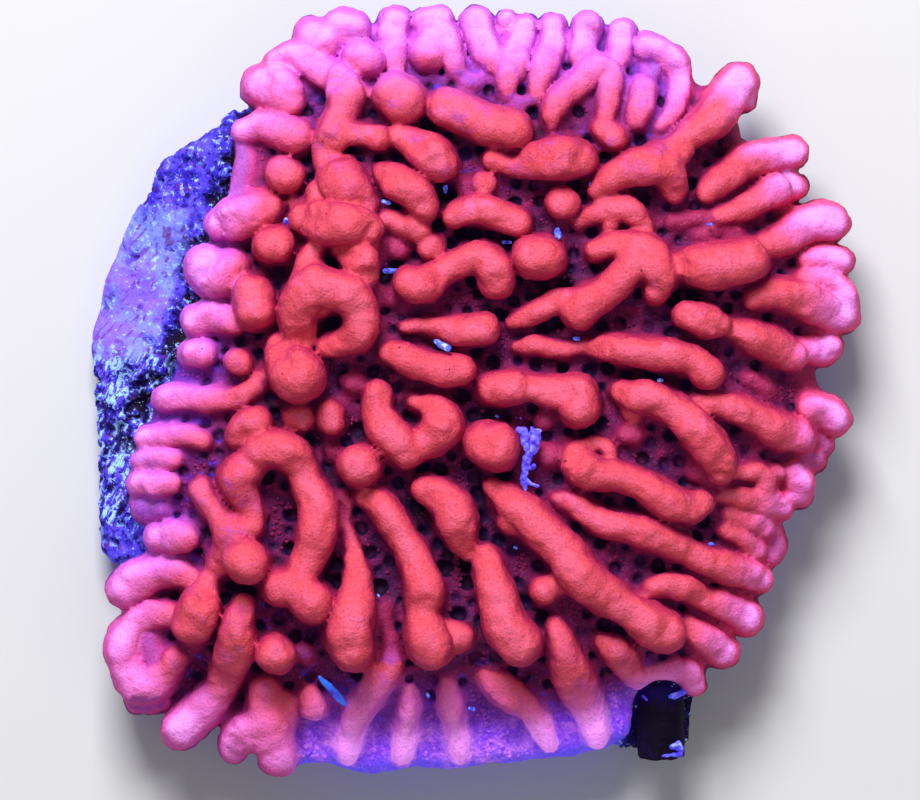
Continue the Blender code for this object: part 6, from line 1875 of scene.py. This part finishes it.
@dataclass
class LodgedDebris:
    """Grit, a crumpled strand and a sliver, each joined from rough lumps."""

    crust: Crust
    margin: float = 0.3
    far: float = 9.0
    rough_size: float = 0.35
    rough_octaves: int = 3
    seed_step: float = 3.0

    def build(self) -> list[bpy.types.Object]:
        """Make each kind of debris."""
        sliver = Debris(body=srgb(50, 112, 255), bright=srgb(84, 146, 255), grain_size=0.8)
        grains = Debris(body=srgb(84, 110, 255), bright=srgb(190, 205, 255), grain_size=0.16)
        chips = Debris(body=srgb(80, 70, 236), bright=srgb(150, 160, 255))
        groups = (
            ("blue_strand", STRAND, Debris(grain_size=0.24)),
            ("blue_sliver", SLIVER, sliver),
            ("pale_grains", GRAINS, grains),
            ("tube_chips", TUBE_CHIPS, chips),
        )
        made = []
        for name, bits, finish in groups:
            thing = self._lump(name, bits)
            thing.data.materials.append(finish.build())
            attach(thing, BODY)
            made.append(thing)
        return made

    def _lump(self, name: str, bits: tuple[Bit, ...]) -> bpy.types.Object:
        """One object from rough lumps.

        Args:
            name: Its name.
            bits: The lumps, each a chain of balls.

        Returns:
            The object.
        """
        all_places, all_faces, start = [], [], 0
        for number, bit in enumerate(bits):
            line = np.array(bit.path)
            if bit.on_crust:
                line[:, 2] += self.crust.top(line[:, :2])
            reach = line[:, 3].max() + self.margin
            low, high = line[:, :3].min(axis=0) - reach, line[:, :3].max(axis=0) + reach
            field = VoxelField(tuple(low), tuple(high), bit.step)
            x, y, z = np.ix_(*field.axes)
            total = np.full(field.shape, self.far)
            for (x0, y0, z0, r0), (x1, y1, z1, r1) in zip(line[:-1], line[1:]):
                run = np.array((x1 - x0, y1 - y0, z1 - z0))
                share = ((x - x0) * run[0] + (y - y0) * run[1] + (z - z0) * run[2]) / (run @ run)
                share = np.clip(share, 0.0, 1.0)
                away = np.sqrt((x - x0 - share * run[0]) ** 2 + (y - y0 - share * run[1]) ** 2
                               + (z - z0 - share * run[2]) ** 2)
                total = np.minimum(total, away - (r0 + share * (r1 - r0)))
            corners = np.stack(np.broadcast_arrays(x, y, z), axis=-1).reshape(-1, 3)
            lumps = Lumps(self.rough_size, self.rough_octaves, self.seed_step * number)
            rough = lumps.at(corners).reshape(field.shape)
            field.values[:] = total + bit.roughness * line[:, 3].max() * rough
            places, quads = field.skin()
            all_places.append(places)
            all_faces.append(quads + start)
            start += len(places)
        return new_object(name, np.vstack(all_places), np.vstack(all_faces))


@dataclass(frozen=True)
class SoftLight:
    """A square soft light: its power in watts, and its side and where it hangs in mm."""

    name: str
    power: float
    side: float
    place: Point3


@dataclass
class Studio:
    """Pale floor, soft lights and the camera at the photograph's angle."""

    floor_half: float = 900.0
    lens: float = 400.0
    sensor: float = 36.0
    clip_start: float = 10.0
    clip_end: float = 10000.0
    image_width: int = 920
    pixels_per_mm: float = 16.0
    aim: Point2 = (-1.1, -0.4)
    sharp_height: float = 6.0
    lit_height: float = 8.0
    sky: float = 0.22
    lights: tuple[SoftLight, ...] = (
        SoftLight("key", 2.2, 160.0, (-50.0, 250.0, 280.0)),
        SoftLight("fill", 0.2, 300.0, (150.0, -200.0, 300.0)),
    )

    def build(self) -> None:
        """Set up the stage."""
        half = self.floor_half
        corners = np.array([(-half, -half, 0.0), (half, -half, 0.0), (half, half, 0.0), (-half, half, 0.0)])
        floor = new_object("studio_floor", corners, [(0, 1, 2, 3)])
        floor.data.materials.append(Paper().build())
        for light in self.lights:
            self._hang(light)
        world = bpy.data.worlds.new("studio")
        world.use_nodes = True
        world.node_tree.nodes["Background"].inputs["Color"].default_value = (1.0, 1.0, 1.0, 1.0)
        world.node_tree.nodes["Background"].inputs["Strength"].default_value = self.sky
        bpy.context.scene.world = world
        bpy.context.scene.view_settings.view_transform = "Standard"
        self._camera()

    def _hang(self, light: SoftLight) -> None:
        """Hang a light so that it faces the object."""
        data = bpy.data.lights.new(light.name, "AREA")
        data.energy = light.power
        data.size = light.side * MM
        thing = bpy.data.objects.new(light.name, data)
        thing.location = Vector(light.place) * MM
        aim = Vector((0.0, 0.0, self.lit_height)) * MM - thing.location
        thing.rotation_euler = aim.to_track_quat("-Z", "Y").to_euler()
        bpy.context.scene.collection.objects.link(thing)

    def _camera(self) -> None:
        """The camera straight above, framed as the photograph is."""
        data = bpy.data.cameras.new("photo_view")
        data.lens = self.lens
        data.sensor_width = self.sensor
        data.clip_start = self.clip_start * MM
        data.clip_end = self.clip_end * MM
        seen_width = self.image_width / self.pixels_per_mm
        height = self.sharp_height + seen_width * self.lens / self.sensor
        camera = bpy.data.objects.new("photo_view", data)
        camera.location = Vector((*self.aim, height)) * MM
        bpy.context.scene.collection.objects.link(camera)
        bpy.context.scene.camera = camera


def report(thing: bpy.types.Object) -> None:
    """Log a finished piece's name and face count."""
    faces = thing.data.polygons
    triangles = sum(len(face.vertices) - 2 for face in faces)
    LOG.info("%s: %d faces, %d triangles", thing.name, len(faces), triangles)


def main() -> None:
    """Build the pieces in order and report each."""
    logging.basicConfig(level=logging.INFO, format="%(name)s: %(message)s")
    Studio().build()
    crust = Crust()
    colony = CoralColony(crust)
    report(colony.build())
    report(Papillae(colony).build())
    report(BaseRock(crust).build())
    report(WormTube().build())
    for thing in LodgedDebris(crust).build():
        report(thing)


if __name__ == "__main__":
    main()
